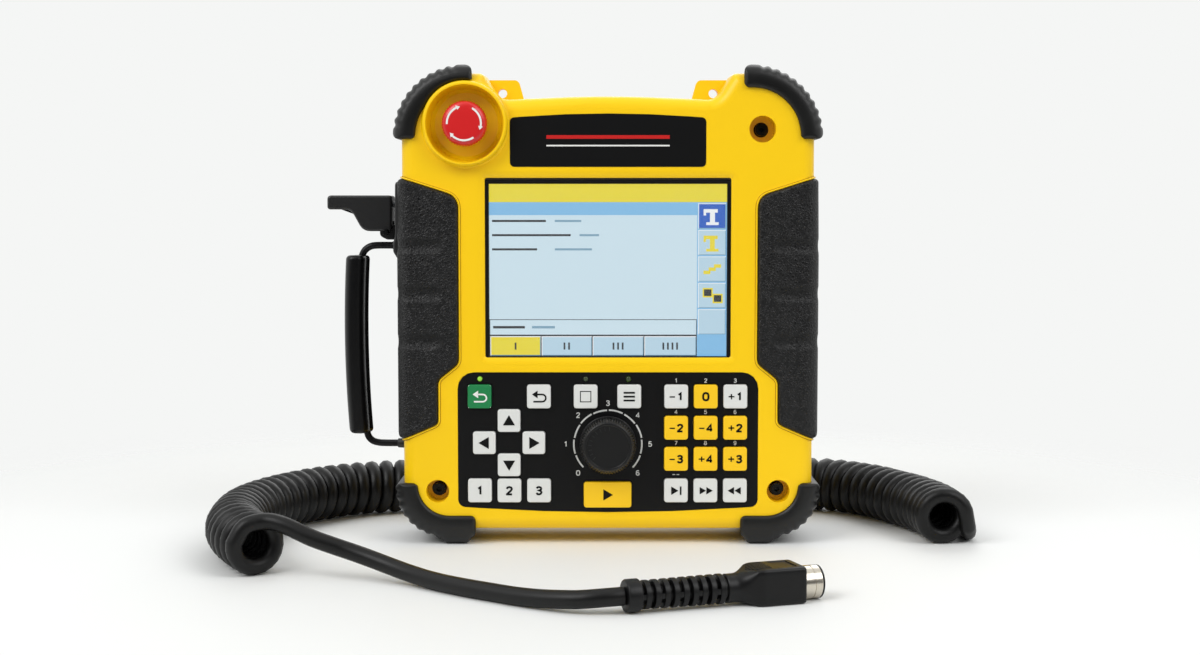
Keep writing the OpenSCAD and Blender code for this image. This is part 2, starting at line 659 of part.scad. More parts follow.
module dial_pot() {
    place() color("#5b6064") difference() {
        union() {
            rod_y(dial_x, dial_z, pot_y, pot_y + pot_l, pot_d);
            rod_y(dial_x, dial_z, panel_back_y - 1, pot_y + 0.1, bushing_d);
        }
        rod_y(dial_x, dial_z, panel_back_y - 2, pot_y + 5.4, spindle_d + 2 * running_gap);
    }
}

// ---- stop button ----
stop_stem_d = 16;
spigot_d = 9;
head_t = 7.5;
head_y = rim_y - head_proud;
head_back_y = head_y + head_t;
block_y = bowl_y + bowl_wall;
block_w = 27;
block_h = 20;
block_l = 24;
module stop_head() {
    place() color("#d22a28") translate([stop_x, head_back_y, stop_z]) rotate([90, 0, 0]) difference() {
        rotate_extrude() polygon(concat([[0, 0], [head_r - 1.2, 0], [head_r, 1], [head_r, head_t - 3.4]],
            [for (a = [15:15:75]) [head_r - 3 + 3 * cos(a), head_t - 3.4 + 3 * sin(a)]],
            [[head_r - 3, head_t - 0.4], [0, head_t]]));
        translate([0, 0, -1]) cylinder(h = head_t - 1, d = spigot_d + 2 * running_gap);
        for (a = [0:10:350]) rotate([0, 0, a]) translate([head_r + 0.25, 0, -1]) cylinder(h = head_t - 2.6, d = 0.9);
    }
}
module stop_stem() {
    place() color("#8f9296") union() {
        rod_y(stop_x, stop_z, head_y + 2.4, head_back_y + 1, spigot_d);
        rod_y(stop_x, stop_z, head_back_y + 0.3, block_y + 6, stop_stem_d);
    }
}
module stop_block() {
    place() color("#303234") difference() {
        union() {
            rod_y(stop_x, stop_z, block_y, block_y + 6, 28);
            slab(block_y + 5.9, block_y + block_l) square_c(stop_x, stop_z, block_w, block_h);
        }
        rod_y(stop_x, stop_z, block_y - 1, block_y + 6 + stop_travel + 0.6, stop_stem_d + 2 * running_gap);
    }
}
module square_c(x, z, w, h) {
    translate([x - w / 2, z - h / 2]) square([w, h]);
}

// ---- lever, bracket and bail on the left side ----
bracket_half = 13;
ear_t = 3;
ear_in = lever_d / 2 + 0.3;
ear_out = ear_in + ear_t;
bracket_x = -side_x - seat_gap;
boss_half = 5;
module side_bracket() {
    place() color("#2b2c2e") difference() {
        union() {
            // plate, thin above and thick where the ears and the bail boss stand
            slab(-bracket_half + 0.1, bracket_half - 0.1) polygon(rounded([
                [bracket_x, bracket_low_z, 0.3], [bracket_x, bracket_top_z, 0.3],
                [-grip_x - 0.9, bracket_top_z - 4, 1.5], [-grip_x - 0.9, pivot_z + 8, 2],
                [-grip_x - 2, pivot_z + 5, 2], [-grip_x - 2, bracket_low_z + 2.5, 1.5],
                [-grip_x + 0.5, bracket_low_z, 1]], 0, 4));
            for (s = [-1, 1]) slab(s < 0 ? -ear_out : ear_in, s < 0 ? -ear_in : ear_out) {
                translate([pivot_x, pivot_z]) circle(r = lug_r);
                polygon([[-grip_x, pivot_z - lug_r - 3], [-grip_x, pivot_z + lug_r + 3],
                         [pivot_x, pivot_z + lug_r], [pivot_x, pivot_z - lug_r]]);
            }
            translate([hinge_x, 0, bracket_low_z]) cylinder(h = boss_top_z - bracket_low_z, r = boss_half);
            translate([hinge_x, -boss_half, bracket_low_z])
                cube([-grip_x - hinge_x + 1, 2 * boss_half, boss_top_z - bracket_low_z]);
        }
        rod_y(pivot_x, pivot_z, -bracket_half, bracket_half, lever_pin_d + 0.04);
        rod_x(-far, -side_x + 1, 0, plunger_z, plunger_d + 2 * running_gap);
        translate([hinge_x, 0, bracket_low_z - 1]) cylinder(h = 20, d = rod_d + 2 * running_gap);
        // room for the leg of the bail over its boss
        translate([hinge_x - 20, -ear_in, boss_top_z])
            cube([20 - hinge_x - grip_x - 2.05, 2 * ear_in, bail_top_z + rod_d / 2 + 0.4 - boss_top_z]);
    }
}
boss_top_z = bail_top_z - rod_d - 0.3;
module enable_lever() {
    top = pivot_z + 21.2;
    place() color("#1d1e1f") difference() {
        union() {
            slab(-lever_d / 2, lever_d / 2) polygon(rounded([
                [-lever_reach, top - 7.9, 3], [-lever_reach + 14, top - 9.2, 4],
                [-lever_reach + 17.5, top - 9.2, 6], [pivot_x - 6, top - 13.5, 5], [pivot_x - 4.4, pivot_z, 2],
                [lever_x, pivot_z, 1], [lever_x, top, 2], [-lever_reach, top, 2]], 0, 6));
            rod_y(pivot_x, pivot_z, -lever_d / 2, lever_d / 2, 2 * (lug_r - 0.9));
        }
        rod_y(pivot_x, pivot_z, -lever_d, lever_d, lever_pin_d + 2 * running_gap);
    }
}
module lever_pin() {
    place() color("#c9c2b4") rod_y(pivot_x, pivot_z, -ear_out - 0.4, ear_out + 0.4, lever_pin_d);
}
plunger_stroke = 2;
module enable_plunger() {
    place() color("#8f9296") {
        rod_x(lever_x + 0.3, bracket_x - 0.1, 0, plunger_z, plunger_d);
    }
}
sleeve_w = 11.8;
sleeve_d = 18;
bend_r = 5.5;
// The rod is a row of straight stretches and quarter bends in the plane Y = 0.
module bail_rod() {
    x = hinge_x - bail_reach;
    place() color("#9a9da0") {
        for (end = [[bail_top_z, 1], [bail_low_z, -1]]) let (z = end[0], s = end[1]) {
            rod_x(x + bend_r, hinge_x - rod_d, 0, z, rod_d);
            // bend between the leg and the upright
            translate([x + bend_r, 0, z - s * bend_r]) rotate([90, 0, 0])
                rotate([0, 0, s > 0 ? 90 : 180]) rotate_extrude(angle = 90) translate([bend_r, 0]) circle(d = rod_d);
            // bend at the hinge, and the pin turned into its boss
            translate([hinge_x - rod_d, 0, z - rod_d]) rotate([90, 0, 0]) rotate_extrude(angle = 90)
                translate([rod_d, 0]) circle(d = rod_d);
            translate([hinge_x, 0, z - rod_d - 5]) cylinder(h = 5.01, d = rod_d);
        }
        translate([x, 0, bail_low_z + bend_r]) cylinder(h = bail_top_z - bail_low_z - 2 * bend_r, d = rod_d);
    }
}
sleeve_top_z = bail_top_z - bend_r - 0.2;
sleeve_low_z = bail_low_z + bend_r + 0.2;
module bail_sleeve() {
    x = hinge_x - bail_reach;
    place() color("#1d1e1f") difference() {
        translate([x, 0, sleeve_low_z]) linear_extrude(sleeve_top_z - sleeve_low_z)
            polygon(rounded(box_corners(sleeve_w, sleeve_d, 4.5, 0), 0, 5));
        translate([x, 0, sleeve_low_z - 1]) cylinder(h = far, d = rod_d + 0.02);
    }
}
module bail_lug() {
    lug_top = bail_low_z - rod_d - 0.3;
    lug_h = 6;
    place() color("#2b2c2e") difference() {
        union() {
            translate([hinge_x, 0, lug_top - lug_h]) cylinder(h = lug_h, r = boss_half - 1);
            translate([hinge_x, -boss_half + 1, lug_top - lug_h])
                cube([bracket_x - hinge_x, 2 * boss_half - 2, lug_h]);
        }
        translate([hinge_x, 0, lug_top - lug_h - 1]) cylinder(h = far, d = rod_d + 2 * running_gap);
    }
}

// ---- inside and cord ----
main_w = 150;
main_h = 110;
main_z = screen_z - 7.2;
main_edge = 5;
main_lift = 7;
chip_w = 28;
module main_board() {
    y = inner_back_y - main_lift;
    feet = [for (a = [-1, 1]) for (b = [-1, 1])
        [a * (main_w / 2 - main_edge), main_z + b * (main_h / 2 - main_edge)]];
    place() color("#1f5a3c") {
        difference() {
            slab(y, y + board_t) square_at(main_w, main_h, main_z);
            for (p = feet) rod_y(p[0], p[1], y - 1, y + board_t + 1, 3);
        }
        for (p = feet) difference() {
            rod_y(p[0], p[1], y + board_t - 0.1, inner_back_y, 6);
            rod_y(p[0], p[1], y, inner_back_y, 3);
        }
        slab(y - 3, y + 0.1) {
            square_c(-main_w * 0.13, main_z + 15, chip_w, chip_w);
            square_c(main_w * 0.2, main_z - 20, chip_w * 0.7, chip_w / 2);
            square_c(main_w * 0.27, main_z + 30, chip_w * 1.5, chip_w / 3);
        }
    }
}
gland_thread_d = 16;
module cable_gland() {
    place() color("#2b2c2e") difference() {
        union() {
            rod_y(gland_x, gland_z, inner_back_y - 4, back_y + 1, gland_thread_d);
            translate([gland_x, back_y + 5, gland_z]) rotate([90, 0, 0]) cylinder(h = 5, d = 24, $fn = 6);
            translate([gland_x, back_y + 4.9, gland_z]) rotate([-90, 0, 0])
                cylinder(h = gland_l - 4.9, d1 = 19, d2 = 14);
        }
        rod_y(gland_x, gland_z, inner_back_y - 5, back_y + gland_l + 1, cord_d + 0.02);
    }
}
module cord_tail() {
    place() color("#1c1c1e") tube(concat([[gland_x, back_y - 8, gland_z]], tail_route), cord_d, 12);
}
module cord_coil() {
    place() color("#1c1c1e") tube(coil_route, coil_d, 12);
}
module cord_lead() {
    place() color("#1c1c1e") tube(lead_route, cord_d, 12);
}
module along_plug(s) {
    translate(plug_start) rotate([0, 0, plug_turn]) rotate([0, 90, 0]) translate([0, 0, s]) children();
}
boot_end_d = 15;
module plug_body() {
    place() color("#1d1e1f") {
        along_plug(0) cylinder(h = 6, d = 15.9);
        along_plug(5.9) cylinder(h = boot_l - 5.8, d1 = 11.5, d2 = boot_end_d);
        for (k = [0:4]) along_plug(11 + k * 7.4) cylinder(h = 3.8, d = 14.2 + k * 0.3);
        along_plug(boot_l) linear_extrude(plug_l) polygon(rounded([
            [8.2, -11, 3], [8.2, 11, 3], [-8, 11, 4], [-11, 0, 9], [-8, -11, 4]], 0, 4));
    }
}
module plug_shell() {
    place() color("#c9c2b4") along_plug(boot_l + plug_l) difference() {
        cylinder(h = shell_l, d = shell_d);
        translate([0, 0, shell_l - 4]) cylinder(h = shell_l, d = shell_d - 2.4);
    }
}

front_cover();
rear_cover();
housing_seal();
name_plate();
grip_left();
grip_right();
bumper_top_left();
bumper_top_right();
bumper_bottom_left();
bumper_bottom_right();
cover_screws();
screen_bezel();
touch_glass();
lcd_module();
keypad_panel();
keypad_board();
status_lights();
for (k = keys) key(k);
speed_dial();
dial_pot();
stop_head();
stop_stem();
stop_block();
side_bracket();
enable_lever();
lever_pin();
enable_plunger();
bail_rod();
bail_sleeve();
bail_lug();
main_board();
cable_gland();
cord_tail();
cord_coil();
cord_lead();
plug_body();
plug_shell();
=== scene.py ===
"""Hand-held teach pendant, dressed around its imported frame. Everything is in metres."""
import json
import math

import bmesh
import bpy
from mathutils import Matrix, Vector


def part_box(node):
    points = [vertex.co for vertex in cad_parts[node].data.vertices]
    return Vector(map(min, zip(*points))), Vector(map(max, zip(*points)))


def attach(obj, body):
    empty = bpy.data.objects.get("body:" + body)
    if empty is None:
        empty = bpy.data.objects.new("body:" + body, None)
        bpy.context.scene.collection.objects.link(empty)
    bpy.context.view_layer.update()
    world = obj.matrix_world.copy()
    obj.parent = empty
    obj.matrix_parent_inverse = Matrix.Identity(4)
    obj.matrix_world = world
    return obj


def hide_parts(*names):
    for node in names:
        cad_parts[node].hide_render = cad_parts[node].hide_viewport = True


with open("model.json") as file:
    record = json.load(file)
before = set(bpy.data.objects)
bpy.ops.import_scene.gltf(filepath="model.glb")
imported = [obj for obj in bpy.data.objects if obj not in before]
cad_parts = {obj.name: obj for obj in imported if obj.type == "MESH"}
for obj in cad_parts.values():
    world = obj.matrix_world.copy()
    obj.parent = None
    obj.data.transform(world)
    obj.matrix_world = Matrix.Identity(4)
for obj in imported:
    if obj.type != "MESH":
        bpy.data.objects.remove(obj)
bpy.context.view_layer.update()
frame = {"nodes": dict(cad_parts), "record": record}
scene = bpy.context.scene
scene.view_settings.view_transform = "Standard"

# ---- Place and view ----
# The pendant stands on its two lower bumpers. Its own middle plane, its parting plane and
# the table are what every piece is measured from, in millimetres, as on its drawings.
MM = 0.001
COLLAR_FRONT = 34
cover_low, cover_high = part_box("front_cover")
HOME = Vector(((cover_low.x + cover_high.x) / 2, cover_low.y + COLLAR_FRONT * MM, 0.0))


def at(x, y, z):
    """A point of the pendant's drawings, in millimetres, as a place in the frame."""
    return HOME + Vector((x, y, z)) * MM


camera_data = bpy.data.cameras.new("camera")
camera_data.sensor_width = 36.0
camera_data.lens = 51.84
camera_data.clip_start = 0.01
camera = bpy.data.objects.new("camera", camera_data)
scene.collection.objects.link(camera)
camera.location = at(-4.5, -1000, 190)
camera.rotation_euler = (math.radians(90 - 3.9), 0, 0)
scene.camera = camera


# ---- Studio ----
# A white sweep of smooth card with a wide soft lamp on each side, one behind and a weak one
# above, so that the light is even and the shadows on the table are faint.
def linear(code):
    """A colour written as sRGB hex, in Blender's linear values."""
    parts = [int(code[i : i + 2], 16) / 255 for i in (1, 3, 5)]
    return [c / 12.92 if c <= 0.04045 else ((c + 0.055) / 1.055) ** 2.4 for c in parts] + [1.0]


def set_inputs(owner, node, inputs):
    """Gives a node's sockets their values, or the outputs that feed them."""
    for socket, value in inputs.items():
        if isinstance(value, bpy.types.NodeSocket):
            owner.node_tree.links.new(value, node.inputs[socket])
        else:
            node.inputs[socket].default_value = value


def add_node(owner, kind, inputs=None, **settings):
    """Adds a shader node to a material or world."""
    node = owner.node_tree.nodes.new(kind)
    for name, value in settings.items():
        setattr(node, name, value)
    set_inputs(owner, node, inputs or {})
    return node


def ranged(owner, value, low, high, start=0.0, stop=1.0, curve="LINEAR"):
    """A value between start and stop, spread over low to high."""
    sockets = {"Value": value, "From Min": start, "From Max": stop, "To Min": low, "To Max": high}
    return add_node(owner, "ShaderNodeMapRange", sockets, interpolation_type=curve).outputs[0]


def start_material(name, colour, **sockets):
    """A material and its shader, with plain values on the shader's own sockets."""
    material = bpy.data.materials.new(name)
    material.use_nodes = True
    shader = material.node_tree.nodes["Principled BSDF"]
    set_inputs(material, shader, {"Base Color": linear(colour)})
    set_inputs(material, shader, {key.replace("_", " "): value for key, value in sockets.items()})
    return material, shader


# Card on the table: it fades into the white surroundings half a metre away.
card, shader = start_material("studio_card", "#ECEDEC", Roughness=0.6, Specular_IOR_Level=0.2)
card_place = add_node(card, "ShaderNodeTexCoord").outputs["Object"]
away = add_node(card, "ShaderNodeVectorMath", {0: card_place}, operation="LENGTH")
fade = ranged(card, away.outputs["Value"], 0.0, 1.0, 0.26, 0.62, "SMOOTHERSTEP")
clear = add_node(card, "ShaderNodeBsdfTransparent")
sheet = {0: fade, 1: shader.outputs[0], 2: clear.outputs[0]}
sheet = add_node(card, "ShaderNodeMixShader", sheet)
set_inputs(card, card.node_tree.nodes["Material Output"], {"Surface": sheet.outputs[0]})

bm = bmesh.new()
bmesh.ops.create_grid(bm, x_segments=1, y_segments=1, size=4.0)
floor_mesh = bpy.data.meshes.new("studio_floor")
bm.to_mesh(floor_mesh)
bm.free()
floor = bpy.data.objects.new("studio_floor", floor_mesh)
scene.collection.objects.link(floor)
floor.data.materials.append(card)

world = bpy.data.worlds.new("studio")
world.use_nodes = True
scene.world = world
rays = add_node(world, "ShaderNodeLightPath").outputs
compass = add_node(world, "ShaderNodeTexCoord").outputs["Generated"]
compass = add_node(world, "ShaderNodeSeparateXYZ", {"Vector": compass}).outputs
# the room in front of the table is dim, the card behind it and at its sides is white
room = ranged(world, compass["Y"], 0.05, 1.0, -0.85, -0.15, "SMOOTHSTEP")
ceiling = ranged(world, compass["Z"], 0.5, 0.66, 0.0, 0.9, "SMOOTHSTEP")
level = {0: rays["Is Glossy Ray"], 2: ceiling, 3: room}
level = add_node(world, "ShaderNodeMix", level, data_type="FLOAT")
straight = {0: rays["Is Camera Ray"], 1: rays["Is Transmission Ray"]}
straight = add_node(world, "ShaderNodeMath", straight, operation="MAXIMUM")
strength = {0: straight.outputs[0], 2: level.outputs[0], 3: 1.0}
strength = add_node(world, "ShaderNodeMix", strength, data_type="FLOAT")
sky = {"Color": linear("#F5F6F5"), "Strength": strength.outputs[0]}
set_inputs(world, world.node_tree.nodes["Background"], sky)


def softbox(name, place, aim, width, height, power):
    """A rectangular studio lamp at place, turned towards aim."""
    data = bpy.data.lights.new(name, "AREA")
    data.shape = "RECTANGLE"
    data.size = width
    data.size_y = height
    data.energy = power
    lamp = bpy.data.objects.new(name, data)
    scene.collection.objects.link(lamp)
    lamp.location = place
    lamp.rotation_euler = (aim - place).to_track_quat("-Z", "Y").to_euler()


softbox("lamp_left", at(-1250, -1150, 1500), at(0, 0, 130), 1.2, 1.2, 24)
softbox("lamp_right", at(1250, -1100, 1400), at(0, 0, 130), 1.2, 1.2, 15)
softbox("lamp_back", at(350, 1500, 1300), at(0, 0, 130), 1.4, 1.4, 9)
softbox("lamp_top", at(0, 200, 1500), at(0, 50, 0), 1.6, 1.2, 1)

# ---- Cord ----
# A nine-core control cable in a black polyurethane jacket. Its middle stretch is wound into
# a spring as it is cured, and both ends are left straight, one in the gland, one in the plug.
CORD_D = 9.0
COIL_D = 33.0
COIL_PITCH = 9.35
CORD_EXIT = (60, 44, 58)
tail_route = [
    CORD_EXIT, (60, 58, 57), (61, 72, 52), (64, 86, 45), (68, 100, 36), (73, 113, 25),
    (79, 125, 14), (90, 135, 7), (107, 139, 4.5), (126, 136, 4.5), (145, 127, 4.5),
    (163, 113, 4.5), (179, 96, 4.5), (191, 78, 4.5), (199, 59, 4.5), (204, 40, 4.5),
    (206.5, 21, 4.5), (207.6, 3, 4.5), (207.4, -12, 4.6), (206.6, -20, 6.0), (204.6, -27.5, 10.5),
]
coil_route = [
    (191, -31, 16.5), (190, -15, 16.5), (188, 0, 16.5), (183, 18, 16.5), (176, 35, 16.5),
    (167, 55, 16.5), (155, 72, 16.5), (144, 82, 16.5), (131, 88, 16.5), (90, 91, 16.5),
    (45, 92, 16.5), (0, 92, 16.5), (-45, 91, 16.5), (-90, 87, 16.5), (-129, 80, 16.5),
    (-148, 73, 16.5), (-165, 62, 16.5), (-179, 47, 16.5), (-190, 30, 16.5), (-199, 10, 16.5),
    (-205, -10, 16.5), (-207, -30, 16.5), (-206, -50, 16.5), (-203, -68, 16.5),
    (-197, -85, 16.5), (-190, -100, 16.5), (-182, -114, 16.5),
]
lead_route = [
    (-180, -118.3, 28.3), (-167, -118.5, 25), (-152, -118.5, 20), (-138, -119, 15.8),
    (-125, -122, 12), (-112.5, -127.5, 8.6), (-101, -135, 6.2), (-90, -144, 4.9),
    (-79, -153.5, 4.5), (-68, -162.5, 4.5), (-56.5, -171, 4.5), (-45, -179.5, 4.6),
    (-33, -187.5, 5.2), (-20.5, -194.5, 6.3), (-13.7, -197, 6.9), (-6.8, -198, 7.6),
    (0.2, -197.6, 8.1), (6.46, -196.13, 8.28),
]


def smooth_line(points, steps):
    """A smooth curve through the points, steps to a stretch."""
    points = [Vector(p) for p in points]
    padded = [2 * points[0] - points[1]] + points + [2 * points[-1] - points[-2]]
    line = []
    for a, b, c, d in zip(padded, padded[1:], padded[2:], padded[3:]):
        for k in range(steps):
            t = k / steps
            line.append(0.5 * (2 * b + (c - a) * t + (2 * a - 5 * b + 4 * c - d) * t * t
                               + (3 * b - a - 3 * c + d) * t ** 3))
    return line + [points[-1]]


def evenly(line, count):
    """The same line as count + 1 points that lie equally far apart."""
    reach = [0.0]
    for a, b in zip(line, line[1:]):
        reach.append(reach[-1] + (b - a).length)
    out = []
    j = 0
    for i in range(count + 1):
        goal = reach[-1] * i / count
        while j < len(line) - 2 and reach[j + 1] < goal:
            j += 1
        share = (goal - reach[j]) / max(reach[j + 1] - reach[j], 1e-9)
        out.append(line[j].lerp(line[j + 1], min(max(share, 0), 1)))
    return out


def wound(route, radius, pitch, points_a_turn):
    """A centreline wound round a route; it starts at the side and ends on top."""
    axis = smooth_line(route, 12)
    span = sum((b - a).length for a, b in zip(axis, axis[1:]))
    turns = round(span / pitch) + 0.25
    axis = evenly(axis, int(turns * points_a_turn))
    up = Vector((0, 0, 1))
    line = []
    for i, middle in enumerate(axis):
        ahead = (axis[min(i + 1, len(axis) - 1)] - axis[max(i - 1, 0)]).normalized()
        side = ahead.cross(up).normalized()
        angle = 2 * math.pi * turns * i / (len(axis) - 1)
        line.append(middle + radius * (math.cos(angle) * side + math.sin(angle) * up))
    return line


LINE_STEPS = 6
coil_line = wound(coil_route, (COIL_D - CORD_D) / 2, COIL_PITCH, 22)
# the last turn runs over its top into the straight end
over_top = [(-178.5, -113.6, 28.9), (-168, -115.6, 27.3), (-153, -118.2, 21.0)]
join_line = smooth_line([coil_line[-6], coil_line[-3]] + over_top + [lead_route[3]], 5)
cord_points = smooth_line(tail_route, LINE_STEPS) + coil_line[1:-6] + join_line[:-1]
cord_points += smooth_line(lead_route, LINE_STEPS)[3 * LINE_STEPS :]
cord_curve = bpy.data.curves.new("curly_cord", "CURVE")
cord_curve.dimensions = "3D"
cord_curve.bevel_depth = CORD_D / 2 * MM
cord_curve.bevel_resolution = 3
cord_curve.use_fill_caps = True
spline = cord_curve.splines.new("POLY")
spline.points.add(len(cord_points) - 1)
for point, place in zip(spline.points, cord_points):
    point.co = (*at(*place), 1.0)
spline.use_smooth = True
cord = bpy.data.objects.new("curly_cord", cord_curve)
scene.collection.objects.link(cord)


def noise(material, grain, detail=2.0):
    """Cloudy noise with grains so many millimetres wide, from 0 to 1."""
    place = add_node(material, "ShaderNodeTexCoord").outputs["Object"]
    sockets = {"Vector": place, "Scale": 1 / (grain * MM), "Detail": detail}
    return add_node(material, "ShaderNodeTexNoise", sockets).outputs["Fac"]


def bumped(material, height, strength, depth):
    """The shading normal over a height map, depth millimetres deep."""
    sockets = {"Height": height, "Strength": strength, "Distance": depth * MM}
    return add_node(material, "ShaderNodeBump", sockets).outputs[0]


def surface(name, colour, roughness, grain, detail=2.0, bump=None, **sockets):
    """A material under noise of a grain in millimetres: a pair of roughnesses follows it, and
    bump is the strength and the depth in millimetres of the relief that it makes. Finer skins
    than shows are drawn with grains of about half a millimetre."""
    material, shader = start_material(name, colour, **sockets)
    cloud = noise(material, grain, detail)
    if isinstance(roughness, tuple):
        roughness = ranged(material, cloud, *roughness)
    set_inputs(material, shader, {"Roughness": roughness})
    if bump:
        set_inputs(material, shader, {"Normal": bumped(material, cloud, *bump)})
    return material


# Polyurethane jacket: black with a soft sheen and a faint drawn grain.
jacket = surface("polyurethane_jacket", "#050505", (0.36, 0.5), 1.11, 3.0, (0.12, 0.2),
                 IOR=1.5, Specular_IOR_Level=0.32)
cord_curve.materials.append(jacket)
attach(cord, "housing")
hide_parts("cord_tail", "cord_coil", "cord_lead")

# ---- Covers ----
# Two yellow shells of polycarbonate blend, injection moulded and closed round the middle
# with a rubber seal between them. The mould was spark eroded, which leaves a satin skin.
bodies = frame["record"]["behaviour"]["bodies"]
body_of_node = {node: body for body, nodes in bodies.items() for node in nodes}


def keep_piece(name, bm, materials, body, angle=None, replaced=None):
    """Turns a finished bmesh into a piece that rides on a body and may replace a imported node.
    It is shaded smooth up to angle degrees, or flat without one."""
    mesh = bpy.data.meshes.new(name)
    for face in bm.faces:
        face.smooth = angle is not None
    bm.to_mesh(mesh)
    bm.free()
    for material in materials:
        mesh.materials.append(material)
    piece = bpy.data.objects.new(name, mesh)
    scene.collection.objects.link(piece)
    if angle is not None:
        mesh.set_sharp_from_angle(angle=math.radians(angle))
        piece.modifiers.new("normals", "WEIGHTED_NORMAL").keep_sharp = True
    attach(piece, body)
    if replaced:
        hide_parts(replaced)
    return piece


def bevel(bm, edges, width, segments, clamped=False):
    """Rounds edges by width millimetres."""
    bmesh.ops.bevel(bm, geom=edges, offset=width * MM, offset_type="OFFSET", affect="EDGES",
                    segments=segments, profile=0.5, material=-1, clamp_overlap=clamped)


def dress(node, material, edge):
    """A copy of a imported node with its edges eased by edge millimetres, in its place."""
    angle = 30
    bm = bmesh.new()
    bm.from_mesh(frame["nodes"][node].data)
    bmesh.ops.remove_doubles(bm, verts=bm.verts, dist=2e-6)
    bmesh.ops.dissolve_limit(bm, angle_limit=math.radians(0.5), verts=bm.verts, edges=bm.edges)
    sharp = [e for e in bm.edges if len(e.link_faces) == 2
             and e.calc_face_angle(0) > math.radians(angle)]
    bevel(bm, sharp, edge, 2, clamped=True)
    for face in bm.faces:
        face.material_index = 0
    keep_piece(node + "_dressed", bm, [material], body_of_node[node], angle, node)


def blended(material, share, first, last):
    """A colour that moves between two."""
    sockets = {"Factor": share, "A": linear(first), "B": linear(last)}
    return add_node(material, "ShaderNodeMix", sockets, data_type="RGBA").outputs["Result"]


# Yellow moulded plastic: an even deep yellow, a satin skin with a fine eroded grain, and a
# barely darker tone in broad patches, as thick and thin walls take the pigment.
shell_plastic, shader = start_material("yellow_polycarbonate", "#FBCD02", IOR=1.5,
                                       Specular_IOR_Level=0.36)
patches = noise(shell_plastic, 71.4, 3.0)
set_inputs(shell_plastic, shader, {
    "Normal": bumped(shell_plastic, noise(shell_plastic, 0.714), 0.10, 0.1),
    "Base Color": blended(shell_plastic, patches, "#FCCF03", "#FACA00"),
    "Roughness": ranged(shell_plastic, patches, 0.33, 0.40),
})
dress("front_cover", shell_plastic, 0.5)
dress("rear_cover", shell_plastic, 0.5)

# Seal cord: black silicone, matt.
silicone = surface("silicone_rubber", "#131414", 0.7, 1.43, bump=(0.2, 0.1),
                   Specular_IOR_Level=0.3)
dress("housing_seal", silicone, 0.1)

# ---- Bumpers ----
# Four corner guards of thermoplastic elastomer, moulded over the corners of the covers. Their
# outer edge is scalloped, so that they give when the pendant is dropped.

# Moulded elastomer: black with a soft sheen, uneven where hands have rubbed it.
elastomer, shader = start_material("elastomer_rubber", "#0B0B0B", IOR=1.5,
                                   Specular_IOR_Level=0.46)
set_inputs(elastomer, shader, {
    "Normal": bumped(elastomer, noise(elastomer, 0.909, 3.0), 0.25, 0.15),
    "Roughness": ranged(elastomer, noise(elastomer, 16.7, 4.0), 0.36, 0.52),
})
SIDE_X, FACE_Y = 116.8, 28.0
STOP_X, STOP_Z, COLLAR_R = -79.9, 237.8, 24.4
LAP_IN, LAP_OUT = -8.95, 4.4
GROOVE_PITCH, GROOVE_HALF = 5.6, 2.5
# how far each line of the section stands out from the cover's side, and how far forward
bumper_lines = [
    (LAP_IN, 28.0), (LAP_IN, 29.2), (-8.5, 30.0), (-7.6, 30.55), (-6.3, 30.85), (-4.8, 31.0),
    (-3.4, 31.0), (-2.2, 30.9), (-1.2, 30.7), (-0.3, 30.4), (0.6, 30.0), (1.4, 29.4), (2.1, 28.7),
    (2.7, 27.8), (3.2, 26.8), (3.7, 25.6), (4.1, 24.2), (4.35, 22.5), (LAP_OUT, 19.0),
    (LAP_OUT, 13.0), (LAP_OUT, 6.5),
]
seat_lines = [(0.02, 0.0), (-0.58, 23.0), (-1.3, 25.5), (-3.1, 27.35), (-5.6, 28.0)]
bumper_section = [(o, -y) for o, y in bumper_lines] + [(LAP_OUT, 0.0)]
bumper_section += [(o, y) for o, y in reversed(bumper_lines)]
bumper_section += [(o, y) for o, y in reversed(seat_lines)] + [(o, -y) for o, y in seat_lines[1:]]


def share_of(value, low, high):
    """Where a value lies on the way from low to high, held between 0 and 1."""
    return min(max((value - low) / (high - low), 0.0), 1.0)


def eased(value, low, high):
    """The same, starting and ending softly."""
    share = share_of(value, low, high)
    return share * share * (3 - 2 * share)


def rounding(distance, radius):
    """How far a rounded rim has come up at a distance from its edge, from 0 to 1."""
    return math.sqrt(max(0.0, 1 - (1 - min(distance / radius, 1)) ** 2))


def loft(bm, rings, closed=True):
    """A skin over rings of points in drawing millimetres, shaped from a grid."""
    wide = len(rings[0])
    across = wide + 1 if closed else wide
    made = bmesh.ops.create_grid(bm, x_segments=across - 1, y_segments=len(rings) - 1, size=0.01)
    for j, ring in enumerate(rings):
        for i in range(across):
            made["verts"][j * across + i].co = at(*ring[i % wide])


def tighten(bm, merge=1e-7, capped=True):
    """Merges what touches, closes open ends with flat faces and turns every face outwards."""
    bmesh.ops.remove_doubles(bm, verts=bm.verts, dist=merge)
    if capped:
        bmesh.ops.holes_fill(bm, edges=[e for e in bm.edges if e.is_boundary], sides=0)
    bmesh.ops.recalc_face_normals(bm, faces=bm.faces)


def skinned(rings, merge=1e-7, closed=True, capped=True):
    """A new bmesh with the tightened skin over the rings."""
    bm = bmesh.new()
    loft(bm, rings, closed)
    tighten(bm, merge, capped)
    return bm


def round_corner(place, along, radius):
    """Where a line lies that turns a corner after along millimetres, and which way is out."""
    arc = radius * math.pi / 2
    centre = SIDE_X - radius
    if place < along:
        return centre - along + place, radius, 0.0, 1.0
    if place < along + arc:
        angle = (place - along) / radius
        nx, nz = math.sin(angle), math.cos(angle)
        return centre + radius * nx, radius * nz, nx, nz
    return SIDE_X, along + arc - place, 1.0, 0.0


